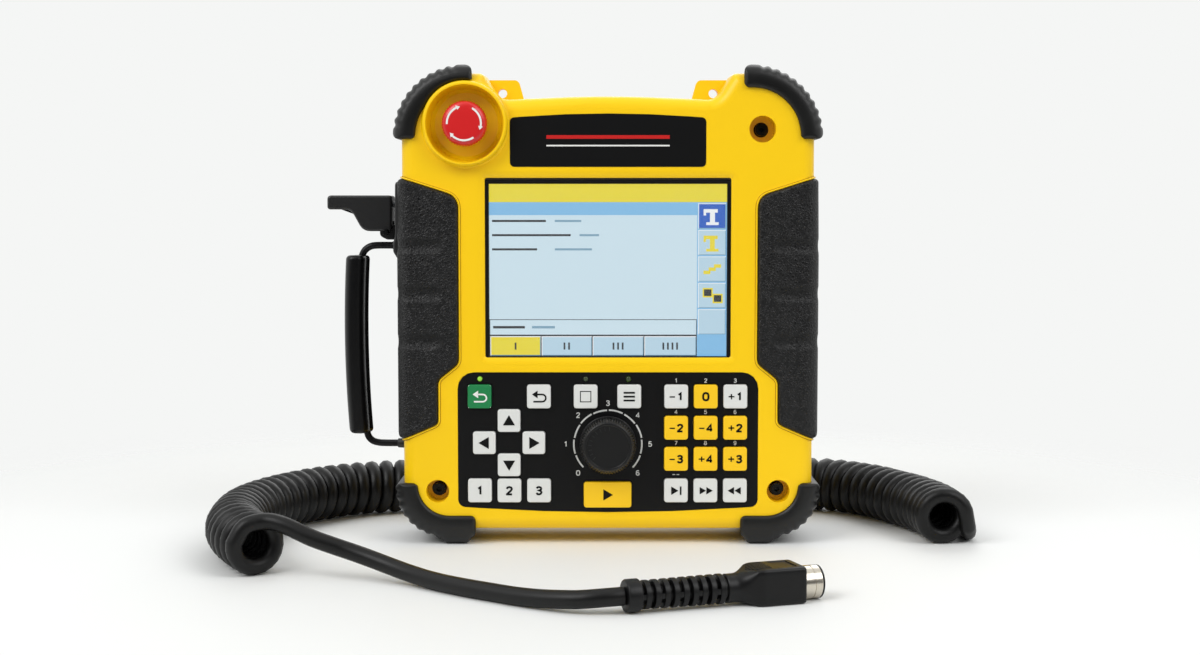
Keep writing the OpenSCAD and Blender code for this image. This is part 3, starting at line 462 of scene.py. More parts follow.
def bumper(name, side, centre_z, radius, along, down, grooves, slant):
    """A corner guard: its section carried round a corner, dipping in at every groove."""
    top = centre_z > 100
    end = along + radius * math.pi / 2 + down
    fine = [0.0, 0.15, 0.4, 0.75, 1.2, 1.8, 2.5, 3.3, 4.0]
    marks = fine + [4.6 + k * 0.8 for k in range(int((end - 8.6) / 0.8))]
    marks += [end - k for k in reversed(fine)]
    rings = []
    for mark in marks:
        ring = []
        edge = min(mark, end - mark)
        thin = rounding(edge, 2.6)
        out_most = LAP_OUT - 4.2 * (1 - rounding(edge, 4.5))
        in_most = LAP_IN + 3 * (1 - rounding(edge, 3))
        for o, y in bumper_section:
            place = mark + slant * (y + 31) / 62 * max(0.0, 1 - mark / 14)
            x, z, nx, nz = round_corner(place, along, radius)
            turned = min(max((place - along) / radius, 0), math.pi / 2)
            at_rim = (turned - math.pi / 4) * (radius + LAP_OUT)
            nearest = min(abs(at_rim - (k - (grooves - 1) / 2) * GROOVE_PITCH)
                          for k in range(grooves))
            reach, front = o, abs(y)
            if (o, front) not in seat_lines:
                dip = 0.5 + 0.5 * math.cos(math.pi * min(nearest / GROOVE_HALF, 1))
                dip *= 1.1 * share_of(o, -0.2, 2.2)
                tilt = share_of(front, 20, 30) * math.pi / 2 if o < LAP_OUT else 0.0
                reach -= dip * math.cos(tilt)
                front -= dip * math.sin(tilt) * 0.85
                if front > FACE_Y:
                    front = min(front, FACE_Y + 0.05 + 2.95 * thin)
                reach = max(min(reach, out_most), in_most)
                if not top and o > 0:
                    # fuller round the corner, and swollen into the sole that it stands on
                    swell = eased(share_of(x, 76.5, 80.5) * share_of(100 - x, 0, 9), 0, 1)
                    swell *= (nz > 0.9) * (1.0 if abs(y) < 27 else 0.7)
                    full = max(1.3 * math.sin(2 * turned), 3.3 * swell) * thin
                    reach += full * min(o / 2.3, 1)
                if side < 0 and top and o < -2.5:
                    # cut back round the stop button's collar
                    vx, vz = x + STOP_X, centre_z + z - STOP_Z
                    ahead = vx * nx + vz * nz
                    room = ahead * ahead - (vx * vx + vz * vz - COLLAR_R ** 2)
                    limit = -ahead + math.sqrt(room) if room > 0 else LAP_IN
                    if limit > LAP_IN:
                        reach = -2.5 + (reach + 2.5) * (limit + 2.5) / (LAP_IN + 2.5)
            up = (z + nz * reach) * (1 if top else -1)
            ring.append((side * (x + nx * reach), math.copysign(front, y),
                         max(centre_z + up, 0.0)))
        rings.append(ring)
    keep_piece(name + "_ribbed", skinned(rings, 2e-6), [elastomer], "housing",
               50, name)


for side, word in ((-1, "left"), (1, "right")):
    bumper("bumper_top_" + word, side, 231.0, 36.0, 4.8, 1.6, 10, 4.9)
    bumper("bumper_bottom_" + word, side, 34.7, 27.0, 14.8, 0.6, 8, 2.4)

# ---- Side grips ----
# Two soft pads moulded over the sides, with three finger grooves each, inside a low rim of the
# cover. Their skin has the pebbled grain of leather, about 1.5 mm from pebble to pebble.
PEBBLE = 1.5625
grip_skin, shader = start_material("soft_touch_leather_grain", "#070708", IOR=1.5,
                                   Specular_IOR_Level=0.42)
place = add_node(grip_skin, "ShaderNodeTexCoord").outputs["Object"]
sway = {"Vector": place, "Scale": 1 / (3.846 * MM), "Detail": 2.0}
sway = add_node(grip_skin, "ShaderNodeTexNoise", sway).outputs["Color"]
sway = add_node(grip_skin, "ShaderNodeVectorMath", {0: sway, "Scale": 0.0022}, operation="SCALE")
place = {0: place, 1: sway.outputs[0]}
place = add_node(grip_skin, "ShaderNodeVectorMath", place, operation="ADD").outputs[0]
pebbles = {"Vector": place, "Scale": 1 / (PEBBLE * MM), "Randomness": 1.0}
pebbles = add_node(grip_skin, "ShaderNodeTexVoronoi", pebbles, feature="DISTANCE_TO_EDGE")
domes = ranged(grip_skin, pebbles.outputs["Distance"], 0.0, 1.0, 0.0, 0.35, "SMOOTHSTEP")
relief = {0: noise(grip_skin, 0.667, 3.0), 1: 0.35, 2: domes}
relief = add_node(grip_skin, "ShaderNodeMath", relief, operation="MULTIPLY_ADD").outputs[0]
set_inputs(grip_skin, shader, {
    "Normal": bumped(grip_skin, relief, 0.75, 0.3),
    "Roughness": ranged(grip_skin, domes, 0.5, 0.34),
})
# Joint line: the yellow goes brownish where dust stays in it.
# Painted shade line: a thin strip where the yellow goes brownish, painted shade at the foot of the
# grip's rim together with dust that stays there.
joint_line, shader = start_material("painted_shade_and_dust_line", "#A8810C", Roughness=0.6,
                                    Specular_IOR_Level=0.2)
# the strip's brownish tone, varied in patches, is painted shade with dust
shade_and_dust_tone = blended(joint_line, noise(joint_line, 11.1, 4.0), "#8F6C0A", "#BC920F")
set_inputs(joint_line, shader, {"Base Color": shade_and_dust_tone})

# The pad's inner edge, and the cover under it: flat in front, round the corner, flat at the
# side. The pad's width is counted along that skin, on the radius BEND_R round the corner.
GRIP_T, GRIP_X, STEP_X, SKIN_X = 2.5, 84.2, 96.0, 116.2
CORNER_R, BEND_R, FLAT_X, FLAT_Y = 5.5, 6.5, 110.7, 22.5
BEND_START = FLAT_X - GRIP_X
BEND_END = BEND_START + BEND_R * math.pi / 2
GRIP_MID = BEND_END + FLAT_Y
GRIP_TOP, GRIP_LOW = 207.9, 59.4
UPPER_Z, LOWER_Z = 197.3, 68.9
GROOVE_ZS, GROOVE_R = (115.7, 142.6, 169.5), 4.2


def along_skin(x):
    """How far round the skin a point of its front lies, from the inner edge of the pad."""
    if x <= FLAT_X:
        return x - GRIP_X
    return BEND_START + BEND_R * math.asin(min((x - FLAT_X) / CORNER_R, 1.0))


def on_skin(t, z, height):
    """The place t millimetres round the cover's skin and height above it, at the front."""
    if t <= BEND_START:
        return GRIP_X + t, -FACE_Y - height, z
    if t <= BEND_END:
        angle = (t - BEND_START) / BEND_R
        reach = CORNER_R + height
        return FLAT_X + reach * math.sin(angle), -FLAT_Y - reach * math.cos(angle), z
    back = min((t - BEND_END) / FLAT_Y, 1.0)
    return SKIN_X + 0.6 * back + height, -FLAT_Y * (1 - back), z


def rounded_line(corners, steps):
    """A line through corners [x, z, radius] whose corners are rounded, as [x, z] points."""
    out = []
    for (ax, az, _), (bx, bz, radius), (cx, cz, _) in zip(corners, corners[1:], corners[2:]):
        a, b, c = Vector((ax, az)), Vector((bx, bz)), Vector((cx, cz))
        u, v = (a - b).normalized(), (c - b).normalized()
        tangent = radius / math.tan(u.angle(v) / 2)
        start, stop = b + u * tangent, b + v * tangent
        for k in range(steps + 1):
            s = k / steps
            out.append(tuple(start * (1 - s) ** 2 + b * 2 * s * (1 - s) + stop * s * s))
    return out


def rounded_outline(corners, steps=5):
    """A closed outline with its corners [x, z, radius] rounded."""
    return rounded_line(corners[-1:] + corners + corners[:1], steps)


slant_xs = (116.2, 114.5, 112.5, 110.5, 107.0, 103.0, 99.0)
slant_top = [(x, UPPER_Z + 0.319 * (x - GRIP_X)) for x in slant_xs]
slant_low = [(x, LOWER_Z - 0.4333 * (x - STEP_X)) for x in (100.0,) + slant_xs[-2::-1]]
inner_edge = [(100, 202.34, 0), (GRIP_X, UPPER_Z, 9), (GRIP_X, 103.2, 6), (STEP_X, 93.8, 6),
              (STEP_X, LOWER_Z, 4), (106, 64.57, 0)]
grip_edge = slant_top + rounded_line(inner_edge, 6) + slant_low
grip_edge = [(along_skin(x), z) for x, z in grip_edge]
grip_edge = [(GRIP_MID, GRIP_TOP)] + grip_edge + [(GRIP_MID, GRIP_LOW)]


def edge_gap(t, z):
    """The distance from a point of the pad to the pad's edge."""
    best = 99.0
    for (t0, z0), (t1, z1) in zip(grip_edge, grip_edge[1:]):
        dt, dz = t1 - t0, z1 - z0
        share = ((t - t0) * dt + (z - z0) * dz) / max(dt * dt + dz * dz, 1e-9)
        share = min(max(share, 0.0), 1.0)
        best = min(best, math.hypot(t - t0 - share * dt, z - z0 - share * dz))
    return best


def edge_start(z):
    """Where the pad starts at a given height."""
    for (t0, z0), (t1, z1) in zip(grip_edge, grip_edge[1:]):
        if z0 >= z >= z1 and z0 > z1:
            return t0 + (t1 - t0) * (z0 - z) / (z0 - z1)
    return GRIP_MID


def pad_height(t, z):
    """How high the pad stands at a point: round at its edge, grooved, and falling away softly
    from its front towards the side."""
    gap = edge_gap(t, z)
    sideways = share_of(t, 24, 36)
    height = GRIP_T * rounding(gap, 2.3) + 0.02
    height += 0.5 * sideways * share_of(GRIP_TOP - z, 0, 45) * min(gap / 4, 1.0)
    height -= 0.75 * eased(t, 9, 26) * (1 - eased(t, 29, 38)) * min(gap / 5, 1.0)
    for centre in GROOVE_ZS:
        off = math.hypot(max(13.2 - t, 0.0), z - centre) / GROOVE_R
        if off < 1:
            height -= (1.6 - 1.2 * sideways) * (1 - off ** 2) * share_of(gap, 0, 3)
    return height


def edge_strip(side, offsets):
    """Rings along the pad's whole edge, from offsets [outwards, height]."""
    front = []
    for i, (t, z) in enumerate(grip_edge):
        before, after = grip_edge[max(i - 1, 0)], grip_edge[min(i + 1, len(grip_edge) - 1)]
        way = Vector((after[0] - before[0], after[1] - before[1])).normalized()
        front.append([on_skin(max(t + way.y * w, -3), z - way.x * w, h) for w, h in offsets])
    rings = [[(side * x, y, z) for x, y, z in ring] for ring in front]
    return rings + [[(side * x, -y, z) for x, y, z in ring] for ring in reversed(front[:-1])]


FINE_ENDS = (0.0, 0.1, 0.3, 0.6, 1.0, 1.5)
ROWS, COLUMNS = 198, 58
row_step = (GRIP_TOP - GRIP_LOW - 4.2) / ROWS
levels = [GRIP_LOW + d for d in FINE_ENDS]
levels += [GRIP_LOW + 2.1 + row_step * k for k in range(ROWS + 1)]
levels += [GRIP_TOP - d for d in reversed(FINE_ENDS)]
quarter = []
for z in levels:
    first = edge_start(z)
    shares = [k / COLUMNS for k in range(COLUMNS + 1)]
    line = [first + (GRIP_MID - first) * s * (0.45 + 0.55 * s) for s in shares]
    quarter.append([on_skin(t, z, pad_height(t, z)) for t in line])
for side, word in ((-1, "left"), (1, "right")):
    rings = [[(side * x, y, z) for x, y, z in row] + [(side * x, -y, z) for x, y, z in row[-2::-1]]
             for row in quarter]
    bm = skinned(rings, 1e-6, closed=False, capped=False)
    if sum(f.normal.x * f.calc_area() for f in bm.faces) * side < 0:
        bmesh.ops.reverse_faces(bm, faces=bm.faces)
    keep_piece("grip_%s_pad" % word, bm, [grip_skin], "housing", 60, "grip_" + word)
    # a low moulded rim of the cover round the pad, and outside it a brownish line of painted shade
    # and dust at the rim's foot
    rim = ((0.15, 0.0), (0.2, 0.6), (0.4, 0.85), (0.9, 0.85), (1.1, 0.65), (1.15, 0.0))
    for name, offsets, material in (("rim", rim, shell_plastic),
                                    ("joint_line", ((1.16, 0.04), (1.46, 0.04)), joint_line)):
        bm = skinned(edge_strip(side, offsets), 1e-6, closed=False, capped=False)
        keep_piece("grip_%s_%s" % (word, name), bm, [material], "housing", 60)

# ---- Screws ----
# Three hexagon socket screws of blackened steel in the bottoms of their wells, on washers.

# Blackened steel: dark grey metal, shining unevenly.
blackened = surface("blackened_steel", "#2A2A2B", (0.3, 0.5), 1.11, 4.0, Metallic=0.9)
dress("cover_screws", blackened, 0.25)


def circle(count, radius=1.0):
    """Points spread evenly round a circle, as pairs."""
    turns = [2 * math.pi * k / count for k in range(count)]
    return [(radius * math.cos(t), radius * math.sin(t)) for t in turns]


washer = ((3.55, -16.05), (3.55, -16.7), (4.05, -16.7), (4.2, -16.5), (4.2, -16.05))
bm = bmesh.new()
for x, z in ((-96.6, 30.6), (96.6, 30.6), (86.6, 235.0)):
    loft(bm, [[(x + a, y, z + b) for a, b in circle(40, r)] for r, y in washer])
tighten(bm, capped=False)
keep_piece("screw_washers", bm, [blackened], "housing", 40)

# ---- Name plate ----
# A black polycarbonate film label in a shallow pocket, left bare but for two printed lines.

# Label film: even black with a fine, quiet sheen.
film = surface("black_label_film", "#101011", (0.28, 0.4), 0.556, bump=(0.12, 0.08),
               IOR=1.55, Specular_IOR_Level=0.3)
dress("name_plate", film, 0.12)


def print_shape(bm, corners, depth, slot=0):
    """A flat printed shape facing the front, from [x, z] corners in drawing millimetres."""
    face = bm.faces.new([bm.verts.new(at(x, depth, z)) for x, z in corners])
    face.normal_update()
    if face.normal.y > 0:
        face.normal_flip()
    face.material_index = slot


def print_bar(bm, x0, z0, x1, z1, depth, slot=0):
    """A printed rectangle between two opposite corners."""
    print_shape(bm, [(x0, z0), (x1, z0), (x1, z1), (x0, z1)], depth, slot)


def ink(name, colour):
    """Screen printing ink: flat colour with a slightly uneven gloss."""
    return surface(name, colour, (0.38, 0.52), 0.4, Specular_IOR_Level=0.2)


white_ink = ink("white_screen_ink", "#E9E9E6")
red_ink = ink("red_screen_ink", "#C4201F")
PLATE_Y = -28.33
bm = bmesh.new()
print_bar(bm, -34.5, 229.6, 34.5, 231.6, PLATE_Y)
print_bar(bm, -34.5, 225.4, 34.5, 226.2, PLATE_Y, 1)
keep_piece("name_plate_lines", bm, [red_ink, white_ink], "housing")

# ---- Stop button ----
# A red mushroom head with a finely ridged edge and three printed turning arrows, on a grey
# stem, in a bowl of the front cover that keeps it from being struck by chance.
HEAD_Y, HEAD_BACK_Y, HEAD_R = -38.0, -30.5, 12.8


def fluted(x, z, back_y, profile, flutes, count):
    """A capped turned form that faces the front, of count points round, from its profile
    [height, radius, depth of its flutes]."""
    rings = []
    for height, radius, depth in profile:
        reaches = [radius - depth * (0.5 + 0.5 * math.cos(2 * math.pi * k / count * flutes)) ** 2
                   for k in range(count)]
        rings.append([(x + a * reach, back_y - height, z + b * reach)
                      for (a, b), reach in zip(circle(count), reaches)])
    return skinned(rings)


def print_arc(bm, x, z, inner, outer, first, last, steps, depth, slot=0):
    """A printed arc round x and z, from first to last degrees."""
    spans = [math.radians(first + (last - first) * k / steps) for k in range(steps + 1)]
    for a, b in zip(spans, spans[1:]):
        ends = ((inner, a), (outer, a), (outer, b), (inner, b))
        corners = [(x + r * math.cos(t), z + r * math.sin(t)) for r, t in ends]
        print_shape(bm, corners, depth, slot)


head_profile = [
    (0.0, HEAD_R - 0.15, 0.5), (0.4, HEAD_R, 0.45), (3.9, HEAD_R, 0.45), (5.2, HEAD_R - 0.5, 0.2),
    (6.3, HEAD_R - 1.4, 0), (6.9, HEAD_R - 2.6, 0), (7.2, HEAD_R - 4.2, 0), (7.42, HEAD_R - 8.0, 0),
]
bm = fluted(STOP_X, STOP_Z, HEAD_BACK_Y, head_profile, 48, 96)
for first, last in ((107, 183), (-19, 61), (218, 304)):
    print_arc(bm, STOP_X, STOP_Z, 8.9, 10.0, first + 9, last, 12, HEAD_Y + 0.28, 1)
    tip = ((8.1, first + 9), (10.8, first + 9), (9.4, first - 4))
    tip = [(STOP_X + r * math.cos(math.radians(t)), STOP_Z + r * math.sin(math.radians(t)))
           for r, t in tip]
    print_shape(bm, tip, HEAD_Y + 0.27, 1)
# Polyamide of the head: a full red with a light gloss.
red_plastic = surface("red_polyamide", "#D3191C", 0.3, 0.625, bump=(0.12, 0.1),
                      IOR=1.52, Coat_Weight=0.15)
keep_piece("stop_head_dressed", bm, [red_plastic, white_ink], "stop_head_body", 40,
           "stop_head")
# Acetal of the stem: plain mid grey, waxy.
stem_plastic = surface("grey_acetal", "#8F9296", 0.4, 0.833, bump=(0.15, 0.1))
dress("stop_stem", stem_plastic, 0.3)

# ---- Screen ----
# A colour display behind an antiglare touch glass, in a black frame that is clipped into the
# front cover from behind. The picture shows plain tiles and bars only.
PICTURE_LEFT, PICTURE_TOP, PICTURE_HIGH, LCD_Y = -67.05, 204.45, 97.3, -22.65
SCREEN_Z = PICTURE_TOP - PICTURE_HIGH / 2
# sections of the frame: [width, height, radius of its corners, how far forward]
bezel_sections = (
    (138.3, 100.9, 2.0, 22.7), (138.3, 100.9, 2.0, 25.4), (138.0, 100.6, 1.9, 25.7),
    (137.5, 100.1, 1.7, 25.8), (134.9, 98.1, 0.9, 25.8), (134.5, 97.7, 0.7, 25.7),
    (134.3, 97.5, 0.6, 25.4), (134.3, 97.5, 0.6, 22.7), (138.3, 100.9, 2.0, 22.7),
)
rings = []
for wide, high, radius, forward in bezel_sections:
    w, h = wide / 2, high / 2
    box = [(x, SCREEN_Z + z, radius) for x, z in ((w, h), (w, -h), (-w, -h), (-w, h))]
    rings.append([(x, -forward, z) for x, z in rounded_outline(box)])
keep_piece("screen_bezel_frame", skinned(rings, capped=False), [film], "housing",
           40, "screen_bezel")


def give(nodes, material):
    """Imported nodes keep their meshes; their slots get a better material."""
    for node in nodes:
        for slot in frame["nodes"][node].material_slots:
            slot.link = "OBJECT"
            slot.material = material


# Antiglare glass: clear, with a slightly softened reflection.
glass = surface("antiglare_glass", "#FFFFFF", (0.03, 0.08), 0.4, IOR=1.5,
                Transmission_Weight=1.0)
give(["touch_glass"], glass)


# a wave of scale 1 repeats every so many metres
WAVE_SCALE = 0.314


def lit(name, colour):
    """One colour of the lit display: crystal behind a fine grid of 0.2 mm cells."""
    material, shader = start_material(name, "#101214", Roughness=0.6)
    place = add_node(material, "ShaderNodeTexCoord").outputs["Object"]
    cells = {"Vector": place, "Scale": WAVE_SCALE / (0.2 * MM)}
    cells = add_node(material, "ShaderNodeTexWave", cells, bands_direction="X").outputs["Fac"]
    power = ranged(material, cells, 0.92 * 0.97, 0.92 * 1.03)
    set_inputs(material, shader, {"Emission Color": linear(colour), "Emission Strength": power})
    return material


display = {
    "edge": lit("display_black", "#0C0D0F"), "field": lit("display_pale_blue", "#D0E7F2"),
    "title": lit("display_yellow", "#EDDC30"), "band": lit("display_blue", "#84C0EA"),
    "tile": lit("display_deep_blue", "#1F5FC4"), "line": lit("display_dark", "#22262C"),
    "white": lit("display_white", "#F4F8FA"), "soft": lit("display_soft_key", "#BBD9EA"),
    "shade": lit("display_shade", "#7FA6BD"),
}
tones = list(display)
bm = bmesh.new()


def lcd(x0, top, x1, low, colour, layer):
    """A tile of the picture, in millimetres from the top left corner of the active area."""
    print_bar(bm, PICTURE_LEFT + x0, PICTURE_TOP - low, PICTURE_LEFT + x1, PICTURE_TOP - top,
              LCD_Y - 0.02 * layer, tones.index(colour))


COLUMN_X, WIDE, BAND_Z, KEYS_Z = 117.4, 134.1, 10.2, 85.5
lcd(-2.2, -2.2, 136.3, 99.6, "edge", 0)
lcd(0, 0, WIDE, PICTURE_HIGH, "field", 1)
lcd(0, 0, WIDE, BAND_Z, "title", 2)
lcd(0, BAND_Z, COLUMN_X, 17.5, "band", 2)
for k, (end, start, stop) in enumerate(((32, 37, 52), (46, 51, 62), (27, 37, 58))):
    lcd(1.6, 20.2 + k * 8.0, end, 21.4 + k * 8.0, "line", 2)
    lcd(start, 20.2 + k * 8.0, stop, 21.4 + k * 8.0, "shade", 2)
lcd(0, 76.4, COLUMN_X, KEYS_Z, "line", 2)
lcd(0.35, 76.8, 117.0, 85.1, "field", 3)
lcd(2.0, 80.2, 20, 81.6, "line", 4)
lcd(24.0, 80.2, 37, 81.6, "shade", 4)
lcd(0, KEYS_Z, 117.6, PICTURE_HIGH, "line", 3)
# four soft keys with one to four strokes
for k, (x0, x1) in enumerate(((0.4, 29.0), (29.5, 57.9), (58.4, 87.2), (87.7, 117.0))):
    lcd(x0, 86.0, x1, 97.0, "white", 4)
    lcd(x0 + 0.45, 86.5, x1, 97.0, "shade", 5)
    lcd(x0 + 0.45, 86.5, x1 - 0.45, 96.6, "title" if k == 0 else "soft", 6)
    for j in range(k + 1):
        middle = (x0 + x1) / 2 - 1.3 * k + 2.6 * j
        lcd(middle - 0.5, 89.6, middle + 0.5, 93.6, "line", 7)
# a column of five tiles, four of which hold a plain shape
TILE_Z, TILE_PITCH = 10.9, 14.95
lcd(COLUMN_X, BAND_Z, WIDE, PICTURE_HIGH, "band", 3)
for k in range(5):
    top = TILE_Z + k * TILE_PITCH
    lcd(118.0, top, 133.6, top + 14.2, "white", 4)
    lcd(118.4, top + 0.4, 133.6, top + 14.2, "shade", 5)
    lcd(118.4, top + 0.4, 133.2, top + 13.8, "tile" if k == 0 else "soft", 6)
for top, colour in ((TILE_Z, "white"), (TILE_Z + TILE_PITCH, "title")):
    for x0, high, x1, low in ((122.5, 10.6, 129.5, 12.2), (124.6, 5.0, 127.4, 10.6),
                              (121.0, 3.2, 129.0, 5.2), (121.0, 5.2, 122.4, 6.8)):
        lcd(x0, top + high, x1, top + low, colour, 7)
for k in range(3):
    lcd(121 + 3 * k, 48.8 - 1.8 * k, 125 + 3 * k, 50.8 - 1.8 * k, "title", 7)
for x0, top, layer in ((120.6, 58.6, 7), (126.2, 61.9, 9)):
    lcd(x0, top, x0 + 5.8, top + 5.4, "title", layer)
    lcd(x0 + 0.8, top + 0.8, x0 + 5.0, top + 4.6, "line", layer + 1)
keep_piece("display_picture", bm, list(display.values()), "housing")
# Zinc plated sheet: bluish grey in broad patches of unlike gloss.
sheet_metal, shader = start_material("zinc_plated_steel", "#A8ABAD", Metallic=1.0)
place = add_node(sheet_metal, "ShaderNodeTexCoord").outputs["Object"]
spangle = add_node(sheet_metal, "ShaderNodeTexVoronoi", {"Vector": place, "Scale": 1 / (6.25 * MM)})
gloss = ranged(sheet_metal, spangle.outputs["Distance"], 0.25, 0.5)
set_inputs(sheet_metal, shader, {"Roughness": gloss})
give(["lcd_module", "dial_pot"], sheet_metal)

# ---- Keypad panel ----
# A black panel of moulded polycarbonate with a fine texture, screen printed in white, and
# the circuit board behind it that the keys press on.

# Textured polycarbonate: near black and satin, with hardly any mirror.
panel_plastic = surface("black_textured_polycarbonate", "#0A0A0B", (0.34, 0.48), 0.667,
                        bump=(0.2, 0.1), IOR=1.53, Specular_IOR_Level=0.22)
dress("keypad_panel", panel_plastic, 0.25)
# Solder mask: green lacquer, a shade lighter where copper lies under it.
solder_mask, shader = start_material("green_solder_mask", "#1F5A3C", Roughness=0.35, IOR=1.5)
place = add_node(solder_mask, "ShaderNodeTexCoord").outputs["Object"]
tracks = {
    "Vector": place, "Scale": 1 / (5.0 * MM), "Color1": linear("#1F5A3C"),
    "Color2": linear("#276A48"), "Mortar": linear("#17482F"),
}
tracks = add_node(solder_mask, "ShaderNodeTexBrick", tracks).outputs["Color"]
set_inputs(solder_mask, shader, {"Base Color": tracks})
give(["keypad_board", "main_board"], solder_mask)
label_ink = ink("grey_screen_ink", "#C9CAC7")
PRINT_Y = -28.23
# the strokes of the figures, in hundredths of their height
strokes = {
    "0": [[(30, 0), (50, 8), (58, 30), (58, 70), (50, 92), (30, 100), (10, 92), (2, 70), (2, 30),
           (10, 8), (30, 0)]],
    "1": [[(12, 78), (36, 98), (36, 0)]],
    "2": [[(4, 74), (10, 92), (30, 100), (50, 92), (56, 74), (48, 54), (5, 4), (5, 0), (58, 0)]],
    "3": [[(4, 82), (14, 96), (30, 100), (48, 93), (53, 76), (46, 59), (24, 54), (48, 47),
           (56, 28), (48, 8), (30, 0), (12, 4), (2, 20)]],
    "4": [[(43, 0), (43, 98), (2, 32), (2, 28), (60, 28)]],
    "5": [[(54, 98), (12, 98), (7, 54), (28, 62), (48, 55), (56, 32), (48, 9), (30, 0), (12, 4),
           (2, 18)]],
    "6": [[(52, 90), (30, 100), (12, 88), (4, 60), (4, 30), (12, 8), (30, 0), (48, 8), (56, 30),
           (48, 50), (30, 58), (12, 50), (5, 36)]],
    "7": [[(4, 98), (56, 98), (22, 0)]],
    "8": [[(30, 54), (12, 62), (7, 77), (12, 93), (30, 100), (48, 93), (53, 77), (48, 62),
           (30, 54), (10, 46), (3, 27), (10, 7), (30, 0), (50, 7), (57, 27), (50, 46), (30, 54)]],
    "9": [[(8, 10), (30, 0), (48, 12), (56, 40), (56, 70), (48, 92), (30, 100), (12, 92), (4, 70),
           (12, 50), (30, 42), (48, 50), (55, 64)]],
    "+": [[(30, 12), (30, 88)], [(-4, 50), (64, 50)]], "-": [[(0, 46), (60, 46)]],
}


def ribbon(bm, points, width, depth, slot=0):
    """A printed line of even width along points, with mitred corners."""
    spots = [Vector(p) for p in points]
    ways = [(b - a).normalized() for a, b in zip(spots, spots[1:])]
    rims = []
    for i, spot in enumerate(spots):
        before, after = ways[max(i - 1, 0)], ways[min(i, len(ways) - 1)]
        if spots[0] == spots[-1] and i in (0, len(spots) - 1):
            before, after = ways[-1], ways[0]
        across = (Vector((-before.y, before.x)) + Vector((-after.y, after.x))).normalized()
        across *= width / 2 / max(across.dot(Vector((-after.y, after.x))), 0.5)
        rims.append((spot + across, spot - across))
    for (a, b), (c, d) in zip(rims, rims[1:]):
        print_shape(bm, [a, b, d, c], depth, slot)


def print_text(bm, words, x, z, size, depth, slot=0, weight=0.16):
    """Printed figures, centred on x and z; size is their height in millimetres."""
    pitch = size * (0.6 + weight + 0.1)
    left = x - (len(words) - 1) * pitch / 2 - 0.3 * size
    high = size * (1 - weight)
    for i, letter in enumerate(words):
        width = weight * size * (0.68 if letter in "+-" else 1.0)
        for line in strokes[letter]:
            spots = [(left + i * pitch + a / 100 * size, z + (b / 100 - 0.5) * high)
                     for a, b in line]
            ribbon(bm, spots, width, depth, slot)


# scale of the speed dial: ten printed arcs over 270 degrees, and plain figures round it
DIAL_X, DIAL_Z, SCALE_R, SCALE_START = 0.0, 57.6, 19.2, 225
bm = bmesh.new()
for k in range(10):
    inner, outer = (0.45, 0.45) if k % 2 == 0 else (0.3, 0.6)
    start = SCALE_START - 27 * k
    print_arc(bm, DIAL_X, DIAL_Z, SCALE_R - inner, SCALE_R + outer, start - 1.6, start - 25.4, 6,
              PRINT_Y)
for k in range(7):
    angle = math.radians(SCALE_START - k * 45)
    print_text(bm, str(k), DIAL_X + 23.9 * math.cos(angle), DIAL_Z + 23.3 * math.sin(angle), 3.2,
               PRINT_Y)
JOG_XS, JOG_ZS, LOW_Z = (38.5, 55.2, 71.9), (84.8, 67.0, 49.3), 31.3
for row, z in enumerate(JOG_ZS):
    for col, x in enumerate(JOG_XS):
        print_text(bm, str(row * 3 + col + 1), x, z + 8.9, 2.5, PRINT_Y)
print_bar(bm, 36.6, 40.0, 38.1, 40.4, PRINT_Y)
print_bar(bm, 38.9, 40.0, 40.4, 40.4, PRINT_Y)
keep_piece("keypad_print", bm, [label_ink], "housing")

# ---- Status lights ----
# Three green light pipes; the left one is lit, the others are dark green, and the right one
# has a bright ring.
lamp_glow, shader = start_material("lit_green_polycarbonate", "#86BE3C", Roughness=0.25)
power = ranged(lamp_glow, noise(lamp_glow, 1.67), 0.3, 0.5)
set_inputs(lamp_glow, shader, {"Emission Color": linear("#8CC43A"), "Emission Strength": power})
lamp_dark, shader = start_material("dark_green_polycarbonate", "#3E6B3F", Roughness=0.25)
tint = blended(lamp_dark, noise(lamp_dark, 1.67), "#34402C", "#465238")
set_inputs(lamp_dark, shader, {"Base Color": tint})
LIGHT_Z = 94.6
FACING = Matrix.Rotation(math.radians(90), 4, "X")


def add_cone(bm, place, count, radius, length, tip=None, capped=True):
    """A cylinder or cone of count sides with its middle and direction set by a matrix."""
    return bmesh.ops.create_cone(bm, cap_ends=capped, segments=count, radius1=radius * MM,
                                 radius2=(radius if tip is None else tip) * MM,
                                 depth=length * MM, matrix=place)["verts"]


def paint(verts, slot):
    """Gives the faces of some vertices a material slot."""
    for face in {f for v in verts for f in v.link_faces}:
        face.material_index = slot


bm = bmesh.new()
for x, slot in ((-72.4, 0), (-12.6, 1), (11.6, 1)):
    dome = Matrix.Translation(at(x, -28.2, LIGHT_Z)) @ Matrix.Diagonal((1, 0.35, 1, 1))
    made = bmesh.ops.create_uvsphere(bm, u_segments=24, v_segments=12, radius=1.3 * MM, matrix=dome)
    paint(made["verts"], slot)
    pipe = Matrix.Translation(at(x, -25.3, LIGHT_Z)) @ FACING
    paint(add_cone(bm, pipe, 24, 1.25, 5.7), slot)
add_cone(bm, Matrix.Translation(at(11.6, -28.35, LIGHT_Z)) @ FACING, 24, 1.45, 0.3, capped=False)
keep_piece("status_lights_dressed", bm, [lamp_glow, lamp_dark], "housing", 35,
           "status_lights")

# ---- Keys ----
# Moulded key caps with a shallow dish, retained behind the panel by a flange. Signs are
# printed on them: arrows, bars and plain figures with a plus or a minus.

